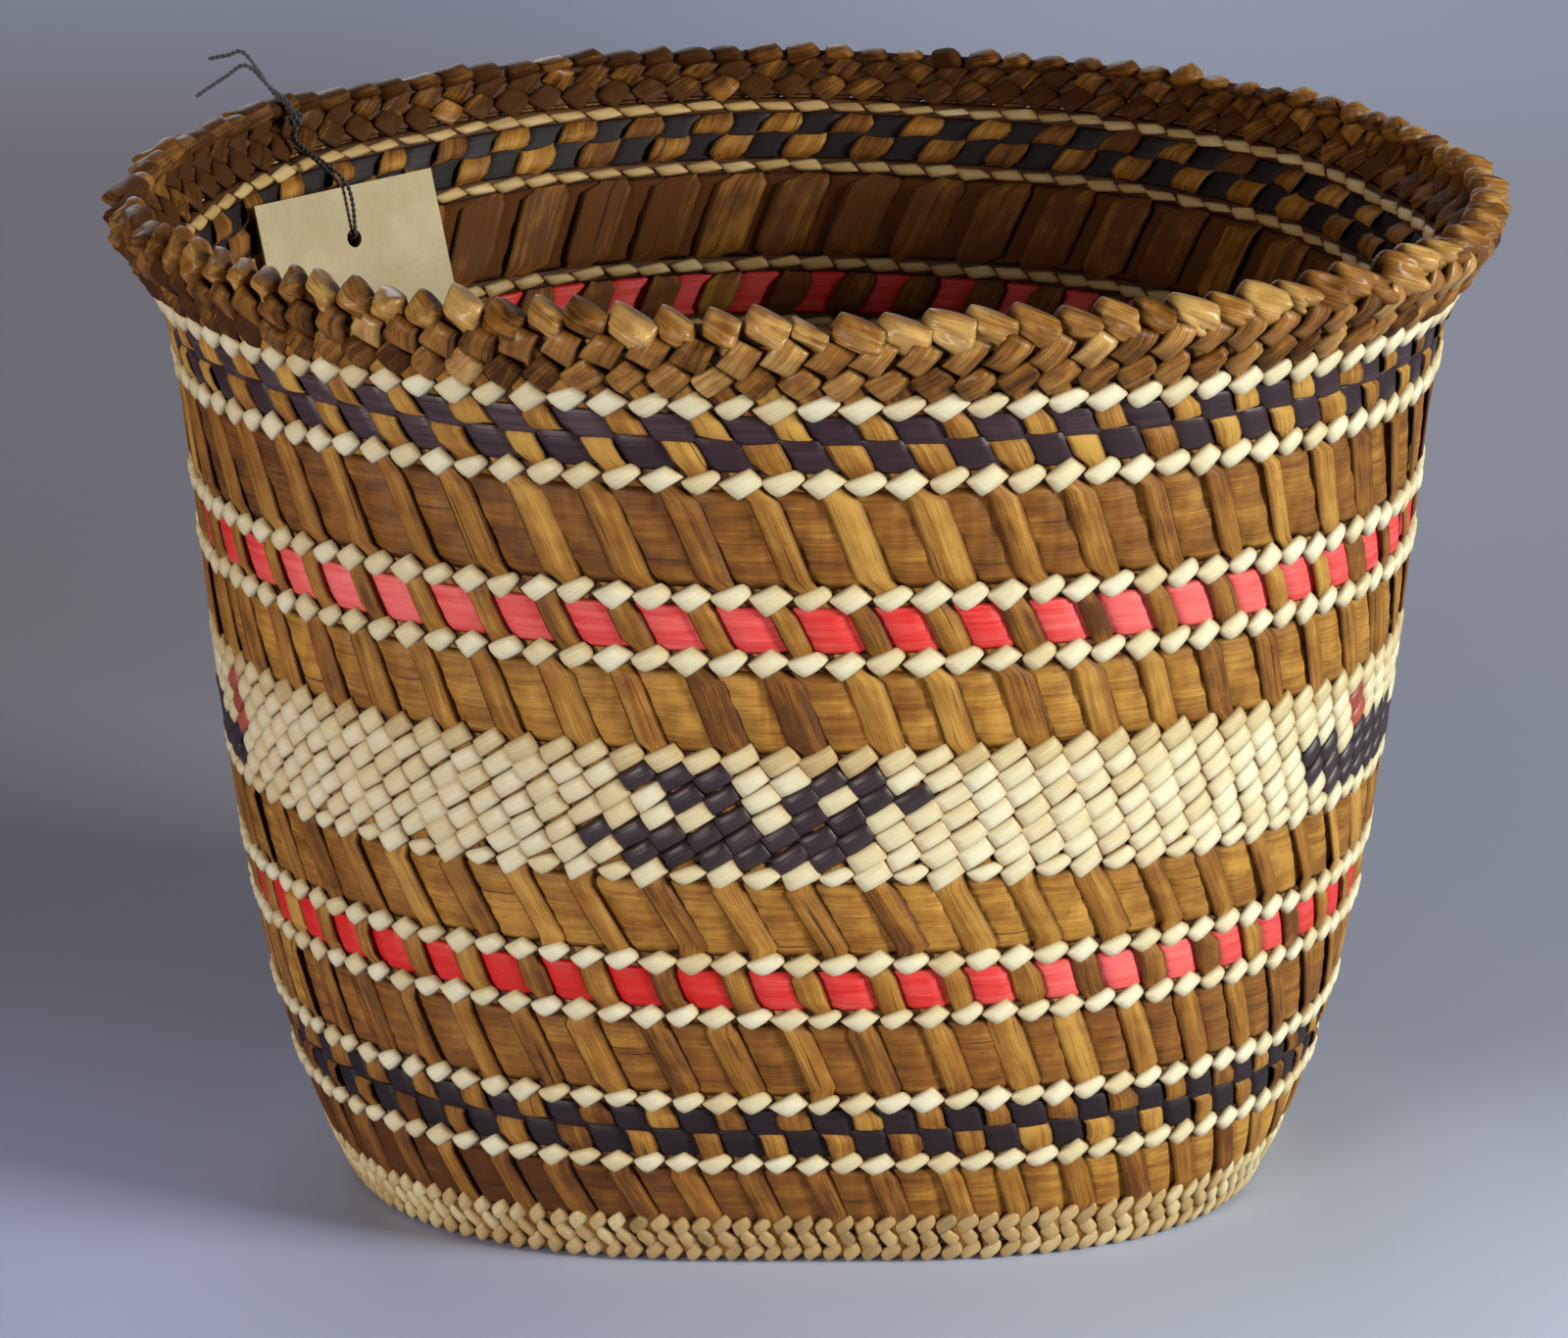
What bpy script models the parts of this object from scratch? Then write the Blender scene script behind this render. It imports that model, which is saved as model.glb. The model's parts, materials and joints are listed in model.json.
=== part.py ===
"""Plaited and twined cedar bark basket with a paper tag, piece by piece, in metres.

The wall is built up as the real one is woven. Upright strips of bark stand inside and outside,
level strips of bark run between them, and rows of grass twining bind the outside. The uprights
lean to one side all the way up, so they wind round the basket like a screw. At the top they are
folded down over each other and make the braided rim.
"""
import math

import bmesh
import bpy
from mathutils import Matrix, Vector

# Plan and side view of the wall
WAIST_HALF_WIDTH = 0.1120
WALL_LEAN = 0.0683
FOOT_CURL = 0.0190
FOOT_CURL_REACH = 0.0376
RIM_FLARE = 0.0094
RIM_FLARE_REACH = 0.0120
DEPTH_RATIO = 0.911
SIDE_BOW_RATIO = 0.098
FOOT_SQUARENESS = 2.65
RIM_SQUARENESS = 2.0
SQUARENESS_FADE = 5.5

# Heights of the courses, from the foot up
FOOT_LIFT = 0.0007
FOOT_ROW_HEIGHT = 0.0035
WIDE_STRIP_HEIGHTS = (0.0114, 0.0146, 0.0143, 0.0154, 0.0181)
RED_STRIP_HEIGHTS = (0.0072, 0.0080)
LOWER_PURPLE_HEIGHTS = (0.0052, 0.0046)
UPPER_PURPLE_HEIGHTS = (0.0056, 0.0046)
LOWER_GRASS_HEIGHT = 0.0044
UPPER_GRASS_HEIGHT = 0.0049
FIGURED_ROW_HEIGHT = 0.00397
RIM_TWINE_HEIGHT = 0.0036
RIM_BRAID_HEIGHT = 0.0056

# Bark, grass and the small clearances between them
UPRIGHT_COUNT = 104
UPRIGHT_SHARE = 0.52
STRIP_THICKNESS = 0.0007
UPRIGHT_THICKNESS = 0.0008
GRASS_CREST = 0.0014
BRAID_THICKNESS = 0.0022
CLEARANCE = 0.00035
FOOT_SLANT = math.radians(16.3)
LIP_SLANT = math.radians(28.5)
RING_SEGMENTS = 32
FOOT_HOOP_HEIGHT = 0.0020

# Folded edge at the top
FOLD_WIDTH = 0.0102
FOLD_HEIGHT = 0.0070
FOLD_OVERHANG = 0.0024
KNOB_VALLEY = 0.74

# Woven base
BASE_THICKNESS = 0.0020
BASE_EDGE_BEVEL = 0.0006

# Paper tag, its thread and the knot that ties it to the rim
TAG_UPRIGHT = 42
TAG_WIDTH = 0.050
TAG_LENGTH = 0.075
TAG_THICKNESS = 0.0006
TAG_HOLE_RADIUS = 0.0020
TAG_HOLE_INSET = 0.011
TAG_DROP = 0.007
TAG_LEAN = 0.28
TAG_TURN = math.radians(-9.5)
THREAD_RADIUS = 0.00045
KNOT_RADIUS = 0.0015
KNOT_TAIL_LENGTH = 0.017
KNOT_TAIL_SPREAD = 0.006

COLOURS = {
    "cedar_upright": (0.52, 0.31, 0.13, 0.55),
    "cedar_strip": (0.40, 0.20, 0.10, 0.60),
    "bear_grass": (0.79, 0.68, 0.42, 0.45),
    "red_strip": (0.72, 0.06, 0.07, 0.50),
    "purple_strip": (0.09, 0.06, 0.09, 0.50),
    "cedar_braid": (0.45, 0.24, 0.09, 0.45),
    "base": (0.40, 0.22, 0.10, 0.65),
    "tag_card": (0.62, 0.55, 0.38, 0.80),
    "tag_thread": (0.09, 0.09, 0.10, 0.70),
}


def list_courses():
    """Name, kind and height of every course, from the foot to the braid."""
    lowest, second, third, fourth, highest = WIDE_STRIP_HEIGHTS
    lower_red, upper_red = RED_STRIP_HEIGHTS
    courses = [(f"foot_row_{number}", "grass", FOOT_ROW_HEIGHT) for number in (3, 2, 1)]
    courses += [
        ("wide_strip_5", "strip", lowest),
        ("grass_row_8", "grass", LOWER_GRASS_HEIGHT),
        ("purple_strip_4", "strip", LOWER_PURPLE_HEIGHTS[0]),
        ("purple_strip_3", "strip", LOWER_PURPLE_HEIGHTS[1]),
        ("grass_row_7", "grass", LOWER_GRASS_HEIGHT),
        ("wide_strip_4", "strip", second),
        ("grass_row_6", "grass", LOWER_GRASS_HEIGHT),
        ("red_strip_2", "strip", lower_red),
        ("grass_row_5", "grass", LOWER_GRASS_HEIGHT),
        ("wide_strip_3", "strip", third),
    ]
    courses += [(f"figured_row_{number}", "grass", FIGURED_ROW_HEIGHT) for number in range(7, 0, -1)]
    courses += [
        ("wide_strip_2", "strip", fourth),
        ("grass_row_4", "grass", UPPER_GRASS_HEIGHT),
        ("red_strip_1", "strip", upper_red),
        ("grass_row_3", "grass", UPPER_GRASS_HEIGHT),
        ("wide_strip_1", "strip", highest),
        ("grass_row_2", "grass", UPPER_GRASS_HEIGHT),
        ("purple_strip_2", "strip", UPPER_PURPLE_HEIGHTS[0]),
        ("purple_strip_1", "strip", UPPER_PURPLE_HEIGHTS[1]),
        ("grass_row_1", "grass", UPPER_GRASS_HEIGHT),
        ("rim_twine", "grass", RIM_TWINE_HEIGHT),
        ("rim_braid", "braid", RIM_BRAID_HEIGHT),
    ]
    return courses


def stack_courses():
    """The same courses with their lower and upper edges, each standing on the one below."""
    level = FOOT_LIFT
    stacked = {}
    for name, kind, height in list_courses():
        stacked[name] = (kind, level, level + height)
        level += height
    return stacked


COURSES = stack_courses()
LIP_HEIGHT = COURSES["rim_braid"][2]
UPRIGHT_FOOT = BASE_THICKNESS + CLEARANCE

# The wall bends only at the tops of these courses, so that all its layers bend together
BEND_COURSES = ("foot_row_1", "wide_strip_5", "grass_row_7", "grass_row_5", "figured_row_4",
                "wide_strip_2", "wide_strip_1", "purple_strip_1", "rim_braid")
BENDS = [0.0] + [COURSES[name][2] for name in BEND_COURSES]


def smooth_half_width(height):
    """A straight lean, drawn in at the foot and flared at the lip."""
    foot = FOOT_CURL * math.exp(-height / FOOT_CURL_REACH)
    flare = RIM_FLARE * math.exp((height - LIP_HEIGHT) / RIM_FLARE_REACH)
    return WAIST_HALF_WIDTH + WALL_LEAN * height - foot + flare


def smooth_squareness(height):
    """Squarest at the foot, and nearly round from a quarter of the way up."""
    height_left = 1.0 - min(height / LIP_HEIGHT, 1.0)
    return RIM_SQUARENESS + (FOOT_SQUARENESS - RIM_SQUARENESS) * height_left ** SQUARENESS_FADE


def between_bends(smooth, height):
    """Value of a smooth form at a height, made straight between two bends."""
    for lower, upper in zip(BENDS, BENDS[1:]):
        if height <= upper:
            break
    share = min((height - lower) / (upper - lower), 1.0)
    return smooth(lower) + (smooth(upper) - smooth(lower)) * share


def wall_half_width(height):
    """Half width of the middle of the wall."""
    return between_bends(smooth_half_width, height)


def wall_point(bearing, height, outward=0.0, half_width=None):
    """Point at a bearing and height.

    The plan is a circle pressed a little square and shallow, with both sides bowed to the front.
    """
    half = wall_half_width(height) if half_width is None else half_width
    squareness = between_bends(smooth_squareness, height)
    cosine = math.cos(bearing)
    sine = math.sin(bearing)
    reach = (abs(cosine) ** squareness + abs(sine) ** squareness) ** (-1.0 / squareness)
    across = (half + outward) * reach * cosine
    deep = (half * DEPTH_RATIO + outward) * reach * sine - SIDE_BOW_RATIO * half * cosine * cosine
    return Vector((across, deep, height))


def upright_turn(height):
    """How far an upright has wound round the basket at a height, leaning over more as it rises."""
    foot_drift = math.tan(FOOT_SLANT) * height
    gained_drift = (math.tan(LIP_SLANT) - math.tan(FOOT_SLANT)) * height * height / (2.0 * LIP_HEIGHT)
    return (foot_drift + gained_drift) / WAIST_HALF_WIDTH


def chord_sag(angle):
    """How far a straight side lies inside its circle at the lip, over an angle."""
    return smooth_half_width(LIP_HEIGHT) * (1.0 - math.cos(angle / 2.0))


TAG_BEARING = math.tau * TAG_UPRIGHT / UPRIGHT_COUNT
WIDEST_TURN = max(upright_turn(high) - upright_turn(low) for low, high in zip(BENDS, BENDS[1:]))
RING_SAG = chord_sag(math.tau / RING_SEGMENTS)
OUTER_UPRIGHT_START = STRIP_THICKNESS / 2.0 + CLEARANCE + chord_sag(WIDEST_TURN)
OUTER_UPRIGHT_END = OUTER_UPRIGHT_START + UPRIGHT_THICKNESS
GRASS_START = OUTER_UPRIGHT_END + CLEARANCE + RING_SAG
INNER_UPRIGHT_START = -(STRIP_THICKNESS / 2.0 + CLEARANCE)
INNER_UPRIGHT_END = INNER_UPRIGHT_START - UPRIGHT_THICKNESS


def make_materials():
    """One plain shader for each kind of bark, grass, card and thread."""
    materials = {}
    for name, (red, green, blue, roughness) in COLOURS.items():
        material = bpy.data.materials.new(name)
        material.use_nodes = True
        shader = material.node_tree.nodes["Principled BSDF"]
        shader.inputs["Base Color"].default_value = (red, green, blue, 1.0)
        shader.inputs["Roughness"].default_value = roughness
        shader.inputs["Metallic"].default_value = 0.0
        material.diffuse_color = (red, green, blue, 1.0)
        materials[name] = material
    return materials


def new_collection(name):
    collection = bpy.data.collections.new(name)
    bpy.context.scene.collection.children.link(collection)
    return collection


def add_object(name, mesh_data, material, collection):
    """Link a mesh or curve under its node name with its one material."""
    obj = bpy.data.objects.new(name, mesh_data)
    mesh_data.materials.append(material)
    collection.objects.link(obj)
    return obj


def wrapped_grid(columns, rows, place, keep=None):
    """A flat grid wrapped onto a form: place(u, v) gives the point, keep(u, v) the faces."""
    mesh = bmesh.new()
    bmesh.ops.create_grid(mesh, x_segments=columns, y_segments=rows, size=0.5)
    if keep is not None:
        middles = [(face, face.calc_center_median() + Vector((0.5, 0.5, 0.0))) for face in mesh.faces]
        holes = [face for face, middle in middles if not keep(middle.x, middle.y)]
        bmesh.ops.delete(mesh, geom=holes, context="FACES")
    for vertex in mesh.verts:
        vertex.co = place(vertex.co.x + 0.5, vertex.co.y + 0.5)
    bmesh.ops.remove_doubles(mesh, verts=mesh.verts, dist=0.00001)
    bmesh.ops.recalc_face_normals(mesh, faces=mesh.faces)
    return mesh


def finish_mesh(mesh, name):
    data = bpy.data.meshes.new(name)
    mesh.to_mesh(data)
    mesh.free()
    return data


def solidify(obj, thickness):
    """Give an open sheet its thickness, half to each side."""
    modifier = obj.modifiers.new("thickness", "SOLIDIFY")
    modifier.thickness = thickness
    modifier.offset = 0.0
    modifier.use_even_offset = True


def ring_from_section(name, section, material, collection, stations=RING_SEGMENTS):
    """A closed hoop: section(bearing, corner) gives each corner of the cross-section in turn."""
    corners = section.corners

    def place(u, v):
        corner = round(v * corners) % corners
        return section(math.tau * u, corner)

    mesh = wrapped_grid(stations, corners, place)
    return add_object(name, finish_mesh(mesh, name), material, collection)


class CourseSection:
    """Cross-section of one hoop, as heights and outward distances from the wall's middle."""

    def __init__(self, points):
        self.points = points
        self.corners = len(points)

    def __call__(self, bearing, corner):
        height, outward = self.points[corner]
        return wall_point(bearing, height, outward)


class FoldSection:
    """Cross-section of the folded edge, full at each knob and drawn in between two knobs."""

    corners = 4

    def __call__(self, bearing, corner):
        station = round(bearing / math.tau * UPRIGHT_COUNT * 2)
        swell = 1.0 if station % 2 == 0 else KNOB_VALLEY
        turn = corner * math.tau / self.corners
        across = FOLD_OVERHANG + math.cos(turn) * swell * FOLD_WIDTH / 2.0
        rise = CLEARANCE + FOLD_HEIGHT / 2.0 + math.sin(turn) * swell * FOLD_HEIGHT / 2.0
        skew = -math.sin(turn) * math.tau / UPRIGHT_COUNT / 4.0
        lip = smooth_half_width(LIP_HEIGHT)
        point = wall_point(bearing + skew, LIP_HEIGHT, across, lip)
        return point + Vector((0.0, 0.0, rise))


def make_strip(name, lower, upper, material, collection):
    """A level strip of bark between the inner and the outer uprights."""
    low = lower + CLEARANCE / 2.0
    high = upper - CLEARANCE / 2.0
    mesh = wrapped_grid(RING_SEGMENTS, 1, lambda u, v: wall_point(math.tau * u, low + (high - low) * v))
    strip = add_object(name, finish_mesh(mesh, name), material, collection)
    solidify(strip, STRIP_THICKNESS)
    return strip


def make_grass_row(name, lower, upper, material, collection):
    """A twined row round the outside: flat towards the uprights, with a crest outward."""
    low = lower + CLEARANCE / 2.0
    high = upper - CLEARANCE / 2.0
    points = [(low, GRASS_START), ((low + high) / 2.0, GRASS_START + GRASS_CREST), (high, GRASS_START)]
    return ring_from_section(name, CourseSection(points), material, collection)


def make_rim_braid(name, lower, upper, material, collection):
    """The flat band of crossed strips just under the folded edge."""
    low = lower + CLEARANCE / 2.0
    high = upper - CLEARANCE / 2.0
    outer = GRASS_START + BRAID_THICKNESS
    points = [(low, GRASS_START), (low, outer), (high, outer), (high, GRASS_START)]
    return ring_from_section(name, CourseSection(points), material, collection)


COURSE_MATERIALS = {
    "wide": "cedar_strip",
    "red": "red_strip",
    "purple": "purple_strip",
    "grass": "bear_grass",
    "figured": "bear_grass",
    "foot": "bear_grass",
    "rim": "cedar_braid",
}


def make_courses(materials, collection):
    makers = {"strip": make_strip, "grass": make_grass_row, "braid": make_rim_braid}
    for name, (kind, lower, upper) in COURSES.items():
        material = materials[COURSE_MATERIALS[name.split("_")[0]]]
        makers[kind](name, lower, upper, material, collection)


def make_inner_uprights(materials, collection):
    """The inner layer of uprights, laid edge to edge, from the base to the fold."""
    levels = [UPRIGHT_FOOT] + BENDS[1:]
    outward = (INNER_UPRIGHT_START + INNER_UPRIGHT_END) / 2.0

    def place(u, v):
        level = levels[round(v * (len(levels) - 1))]
        return wall_point(math.tau * u, level, outward)

    mesh = wrapped_grid(RING_SEGMENTS, len(levels) - 1, place)
    wall = add_object("inner_uprights", finish_mesh(mesh, "inner_uprights"),
                      materials["cedar_upright"], collection)
    solidify(wall, UPRIGHT_THICKNESS)


def make_outer_uprights(materials, collection):
    """Every second upright, passing outside and leaning over, with a hoop at the foot."""
    levels = [UPRIGHT_FOOT, UPRIGHT_FOOT + FOOT_HOOP_HEIGHT] + BENDS[1:]
    spans = len(levels) - 1
    outward = (OUTER_UPRIGHT_START + OUTER_UPRIGHT_END) / 2.0
    widening = 2.0 * UPRIGHT_SHARE - 1.0

    def place(u, v):
        level = levels[round(v * spans)]
        edge = round(u * UPRIGHT_COUNT)
        side = edge + (widening if edge % 2 else 0.0)
        return wall_point(math.tau * side / UPRIGHT_COUNT - upright_turn(level), level, outward)

    def keep(u, v):
        return int(u * UPRIGHT_COUNT) % 2 == 0 or v * spans < 1.0

    mesh = wrapped_grid(UPRIGHT_COUNT, spans, place, keep)
    comb = add_object("outer_uprights", finish_mesh(mesh, "outer_uprights"),
                      materials["cedar_upright"], collection)
    solidify(comb, UPRIGHT_THICKNESS)


def make_rim_fold(materials, collection):
    """The uprights' ends folded over at the lip, one knob for each upright."""
    ring_from_section("rim_fold", FoldSection(), materials["cedar_braid"], collection,
                      stations=UPRIGHT_COUNT * 2)


def make_base_mat(materials, collection):
    """The flat base that the uprights rise from."""
    mesh = bmesh.new()
    bmesh.ops.create_circle(mesh, cap_ends=True, segments=RING_SEGMENTS, radius=1.0)
    for vertex in mesh.verts:
        bearing = math.atan2(vertex.co.y, vertex.co.x)
        vertex.co = wall_point(bearing, 0.0, OUTER_UPRIGHT_END)
        vertex.co.z = BASE_THICKNESS / 2.0
    base = add_object("base_mat", finish_mesh(mesh, "base_mat"), materials["base"], collection)
    solidify(base, BASE_THICKNESS)
    bevel = base.modifiers.new("soft_edge", "BEVEL")
    bevel.width = BASE_EDGE_BEVEL
    bevel.segments = 1
    bevel.limit_method = "ANGLE"
    bevel.angle_limit = math.radians(60.0)


def tag_directions():
    """Along the card and outward from it, level. The card is turned a little from the wall."""
    step = 0.01
    along = wall_point(TAG_BEARING + step, LIP_HEIGHT) - wall_point(TAG_BEARING - step, LIP_HEIGHT)
    along.normalize()
    along.rotate(Matrix.Rotation(TAG_TURN, 3, "Z"))
    outward = along.cross(Vector((0.0, 0.0, 1.0)))
    return along, outward


def room_for_tag(height):
    """How far out the card's middle may lie at a height, with its side edges clear of the wall."""
    along, outward = tag_directions()
    swing = math.asin(TAG_WIDTH / 2.0 / (wall_half_width(height) * DEPTH_RATIO))
    bearings = (TAG_BEARING + swing, TAG_BEARING, TAG_BEARING - swing)
    nearest = min(wall_point(bearing, height, INNER_UPRIGHT_END).dot(outward) for bearing in bearings)
    return nearest - RING_SAG - 2.0 * CLEARANCE - TAG_THICKNESS / 2.0


def tag_places():
    """Middle of the card's foot, the card's upward direction, and the knot's centre.

    The card leans out more than the wall does, so it comes nearest to the wall near its upper edge.
    """
    along, outward = tag_directions()
    foot_height = LIP_HEIGHT - TAG_DROP - TAG_LENGTH
    levels = [foot_height + TAG_LENGTH * share for share in (0.0, 0.25, 0.5, 0.75, 1.0)]
    reach = min(room_for_tag(level) - TAG_LEAN * (level - foot_height) for level in levels)
    up = (outward * TAG_LEAN + Vector((0.0, 0.0, 1.0))).normalized()
    foot = wall_point(TAG_BEARING, foot_height)
    foot += outward * (reach - foot.dot(outward))
    fold_inner = FOLD_OVERHANG - FOLD_WIDTH / 2.0
    lip = smooth_half_width(LIP_HEIGHT)
    knot = wall_point(TAG_BEARING, LIP_HEIGHT, fold_inner, lip)
    knot += Vector((0.0, 0.0, CLEARANCE + FOLD_HEIGHT / 2.0))
    knot -= outward * (KNOT_RADIUS + CLEARANCE)
    return foot, up, knot


def thread_curve(name, points, radius, cyclic, material, collection):
    """A round thread through a list of points."""
    data = bpy.data.curves.new(name, "CURVE")
    data.dimensions = "3D"
    data.bevel_depth = radius
    data.bevel_resolution = 1
    data.use_fill_caps = not cyclic
    spline = data.splines.new("POLY")
    spline.points.add(len(points) - 1)
    for point, place in zip(spline.points, points):
        point.co = (place.x, place.y, place.z, 1.0)
    spline.use_cyclic_u = cyclic
    return add_object(name, data, material, collection)


def hide_cutter(obj):
    obj.hide_render = True
    obj.display_type = "WIRE"


def make_tag_card(materials, collection, cutters):
    """A plain card with one punched hole near the middle of its upper edge."""
    along, outward = tag_directions()
    foot, up, _ = tag_places()
    normal = up.cross(along)
    axes = Matrix((along, normal, up)).transposed().to_4x4()
    middle = foot + up * (TAG_LENGTH / 2.0)
    mesh = bmesh.new()
    bmesh.ops.create_cube(mesh, size=1.0)
    bmesh.ops.scale(mesh, vec=(TAG_WIDTH, TAG_THICKNESS, TAG_LENGTH), verts=mesh.verts)
    card = add_object("tag_card", finish_mesh(mesh, "tag_card"), materials["tag_card"], collection)
    card.matrix_world = Matrix.Translation(middle) @ axes
    punch_mesh = bmesh.new()
    bmesh.ops.create_cone(punch_mesh, cap_ends=True, segments=12, radius1=TAG_HOLE_RADIUS,
                          radius2=TAG_HOLE_RADIUS, depth=TAG_THICKNESS * 4.0)
    punch = add_object("tag_hole_cutter", finish_mesh(punch_mesh, "tag_hole_cutter"),
                       materials["tag_card"], cutters)
    hole = foot + up * (TAG_LENGTH - TAG_HOLE_INSET)
    punch.matrix_world = Matrix.Translation(hole) @ axes @ Matrix.Rotation(math.radians(90.0), 4, "X")
    hide_cutter(punch)
    cut = card.modifiers.new("punched_hole", "BOOLEAN")
    cut.operation = "DIFFERENCE"
    cut.object = punch


def make_tag_string(materials, collection):
    """A loop of thread from under the knot, down in front of the card and back behind it."""
    foot, up, knot = tag_places()
    along, outward = tag_directions()
    normal = up.cross(along)
    if normal.dot(outward) < 0.0:
        normal = -normal
    hole = foot + up * (TAG_LENGTH - TAG_HOLE_INSET)
    edge = foot + up * TAG_LENGTH
    off = TAG_THICKNESS / 2.0 + CLEARANCE + THREAD_RADIUS
    strand = THREAD_RADIUS + CLEARANCE
    bend = hole + up * TAG_HOLE_RADIUS * 0.25
    top = knot - Vector((0.0, 0.0, KNOT_RADIUS + CLEARANCE + THREAD_RADIUS))
    rise = (top - edge).normalized()
    across = rise.cross(along)
    if across.dot(outward) < 0.0:
        across = -across
    shoulder = top - rise * strand
    points = [
        top,
        shoulder - across * strand,
        edge + up * off - normal * off,
        bend + up * strand - normal * off,
        bend - normal * off * 0.8,
        bend - up * strand * 0.5,
        bend + normal * off * 0.8,
        bend + up * strand + normal * off,
        edge + up * off + normal * off,
        shoulder + across * strand,
    ]
    thread_curve("tag_string", points, THREAD_RADIUS, True, materials["tag_thread"], collection)


def make_string_knot(materials, collection):
    """The knot against the rim, with two stiff ends that stand up above it."""
    _, _, knot = tag_places()
    along, outward = tag_directions()
    ends = [along * side * KNOT_TAIL_SPREAD + Vector((0.0, 0.0, KNOT_TAIL_LENGTH)) for side in (1.0, -0.25)]
    start = Vector((0.0, 0.0, KNOT_RADIUS * 0.3))
    tails = []
    for number, end in enumerate(ends):
        points = [knot + start, knot + start + (end - start) * 0.5, knot + end]
        tail = thread_curve(f"knot_tail_{number}", points, THREAD_RADIUS, False,
                            materials["tag_thread"], collection)
        tails.append(curve_to_mesh(tail, collection))
    mesh = bmesh.new()
    bmesh.ops.create_uvsphere(mesh, u_segments=10, v_segments=7, radius=KNOT_RADIUS)
    ball = add_object("string_knot", finish_mesh(mesh, "string_knot"), materials["tag_thread"], collection)
    ball.location = knot
    for tail in tails:
        join = ball.modifiers.new(tail.name, "BOOLEAN")
        join.operation = "UNION"
        join.object = tail
    return tails


def curve_to_mesh(obj, collection):
    """The same tube as a closed mesh, so that it can be joined to another solid."""
    graph = bpy.context.evaluated_depsgraph_get()
    data = bpy.data.meshes.new_from_object(obj.evaluated_get(graph))
    mesh = bmesh.new()
    mesh.from_mesh(data)
    bmesh.ops.remove_doubles(mesh, verts=mesh.verts, dist=0.00001)
    mesh.to_mesh(data)
    mesh.free()
    name = obj.name
    place = obj.matrix_world.copy()
    bpy.data.objects.remove(obj)
    solid = bpy.data.objects.new(name, data)
    solid.matrix_world = place
    collection.objects.link(solid)
    return solid


def main():
    for obj in list(bpy.data.objects):
        bpy.data.objects.remove(obj)
    basket = new_collection("cedar_bark_basket")
    cutters = new_collection("cutters")
    materials = make_materials()
    make_base_mat(materials, basket)
    make_inner_uprights(materials, basket)
    make_courses(materials, basket)
    make_outer_uprights(materials, basket)
    make_rim_fold(materials, basket)
    make_tag_card(materials, basket, cutters)
    make_tag_string(materials, basket)
    for tail in make_string_knot(materials, basket):
        basket.objects.unlink(tail)
        cutters.objects.link(tail)
        hide_cutter(tail)


main()
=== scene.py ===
# %% [markdown]
# # A plaited and twined cedar bark basket
#
# The basket is made of flat strips. Upright strips of cedar bark rise from a plaited base and lean
# to one side. Level strips of bark pass in front of one upright and behind the next. Rows of twining
# bind them: two strands of pale grass twist round each other and catch every upright. At the top the
# uprights fold over each other into a rim.
#
# Everything here is a surface of two parameters, worked out with numpy for all its copies at once.
# One function says where the wall is, and every strip and stitch is laid on that function.

# %% Load the frame that the pieces have to fit
import json
import math
from collections import namedtuple

import bpy
import numpy as np
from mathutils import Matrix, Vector


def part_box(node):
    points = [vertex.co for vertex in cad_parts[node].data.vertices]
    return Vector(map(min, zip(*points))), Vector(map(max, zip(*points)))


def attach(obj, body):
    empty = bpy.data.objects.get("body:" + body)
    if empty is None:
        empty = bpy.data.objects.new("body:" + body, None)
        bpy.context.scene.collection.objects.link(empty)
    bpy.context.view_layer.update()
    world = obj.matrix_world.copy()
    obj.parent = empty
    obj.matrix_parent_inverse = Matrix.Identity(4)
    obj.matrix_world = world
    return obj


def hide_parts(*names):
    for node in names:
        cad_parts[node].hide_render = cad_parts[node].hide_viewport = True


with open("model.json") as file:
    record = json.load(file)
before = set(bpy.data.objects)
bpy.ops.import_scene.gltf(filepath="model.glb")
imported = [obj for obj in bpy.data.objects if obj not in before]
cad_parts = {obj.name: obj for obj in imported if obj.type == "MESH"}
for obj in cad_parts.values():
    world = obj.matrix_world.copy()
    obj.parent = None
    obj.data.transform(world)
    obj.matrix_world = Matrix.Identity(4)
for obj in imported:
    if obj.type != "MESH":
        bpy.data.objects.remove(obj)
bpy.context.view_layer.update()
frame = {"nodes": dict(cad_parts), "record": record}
CHANCE = np.random.default_rng(26)
TAU = 2.0 * math.pi

# %% [markdown]
# ## The form of the wall
#
# The real basket widens upward like a cone, drawn in at the foot and flared at the lip. From above it
# is a circle pressed a little shallow, square at the foot, with both sides bowed to the front. The
# courses aren't quite level either: the weaving has crept up by a centimetre behind, which the inside
# shows. A wall like that could be sculpted, but then nothing could be woven on it. A formula is
# better: give it a bearing, a height and a distance outward, and it gives the point.

# %% The wall as a function of bearing, height and distance outward
WAIST_HALF_WIDTH = 0.1120
WALL_LEAN = 0.0683
FOOT_CURL = 0.0190
FOOT_CURL_REACH = 0.0376
RIM_FLARE = 0.0094
RIM_FLARE_REACH = 0.0120
DEPTH_RATIO = 0.911
SIDE_BOW = 0.098
FOOT_SQUARENESS = 2.65
RIM_SQUARENESS = 2.0
SQUARENESS_FADE = 5.5
BACK_CLIMB = 0.0165
RIM_WAVE_OUT = 0.0004
RIM_WAVE_UP = 0.0003
RIM_TWIST = 0.0005


def course(node):
    """Lower and upper edge of one course, as the model has it."""
    low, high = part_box(node)
    return low.z, high.z


LIP_HEIGHT = course("rim_braid")[1]
EDGE_HEIGHT = course("rim_fold")[1]


def soft_step(value, low, high):
    """Smoothstep: three times the square less twice the cube, held at 0 and 1."""
    share = np.clip((value - low) / (high - low), 0.0, 1.0)
    return share * share * (3.0 - 2.0 * share)


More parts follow.
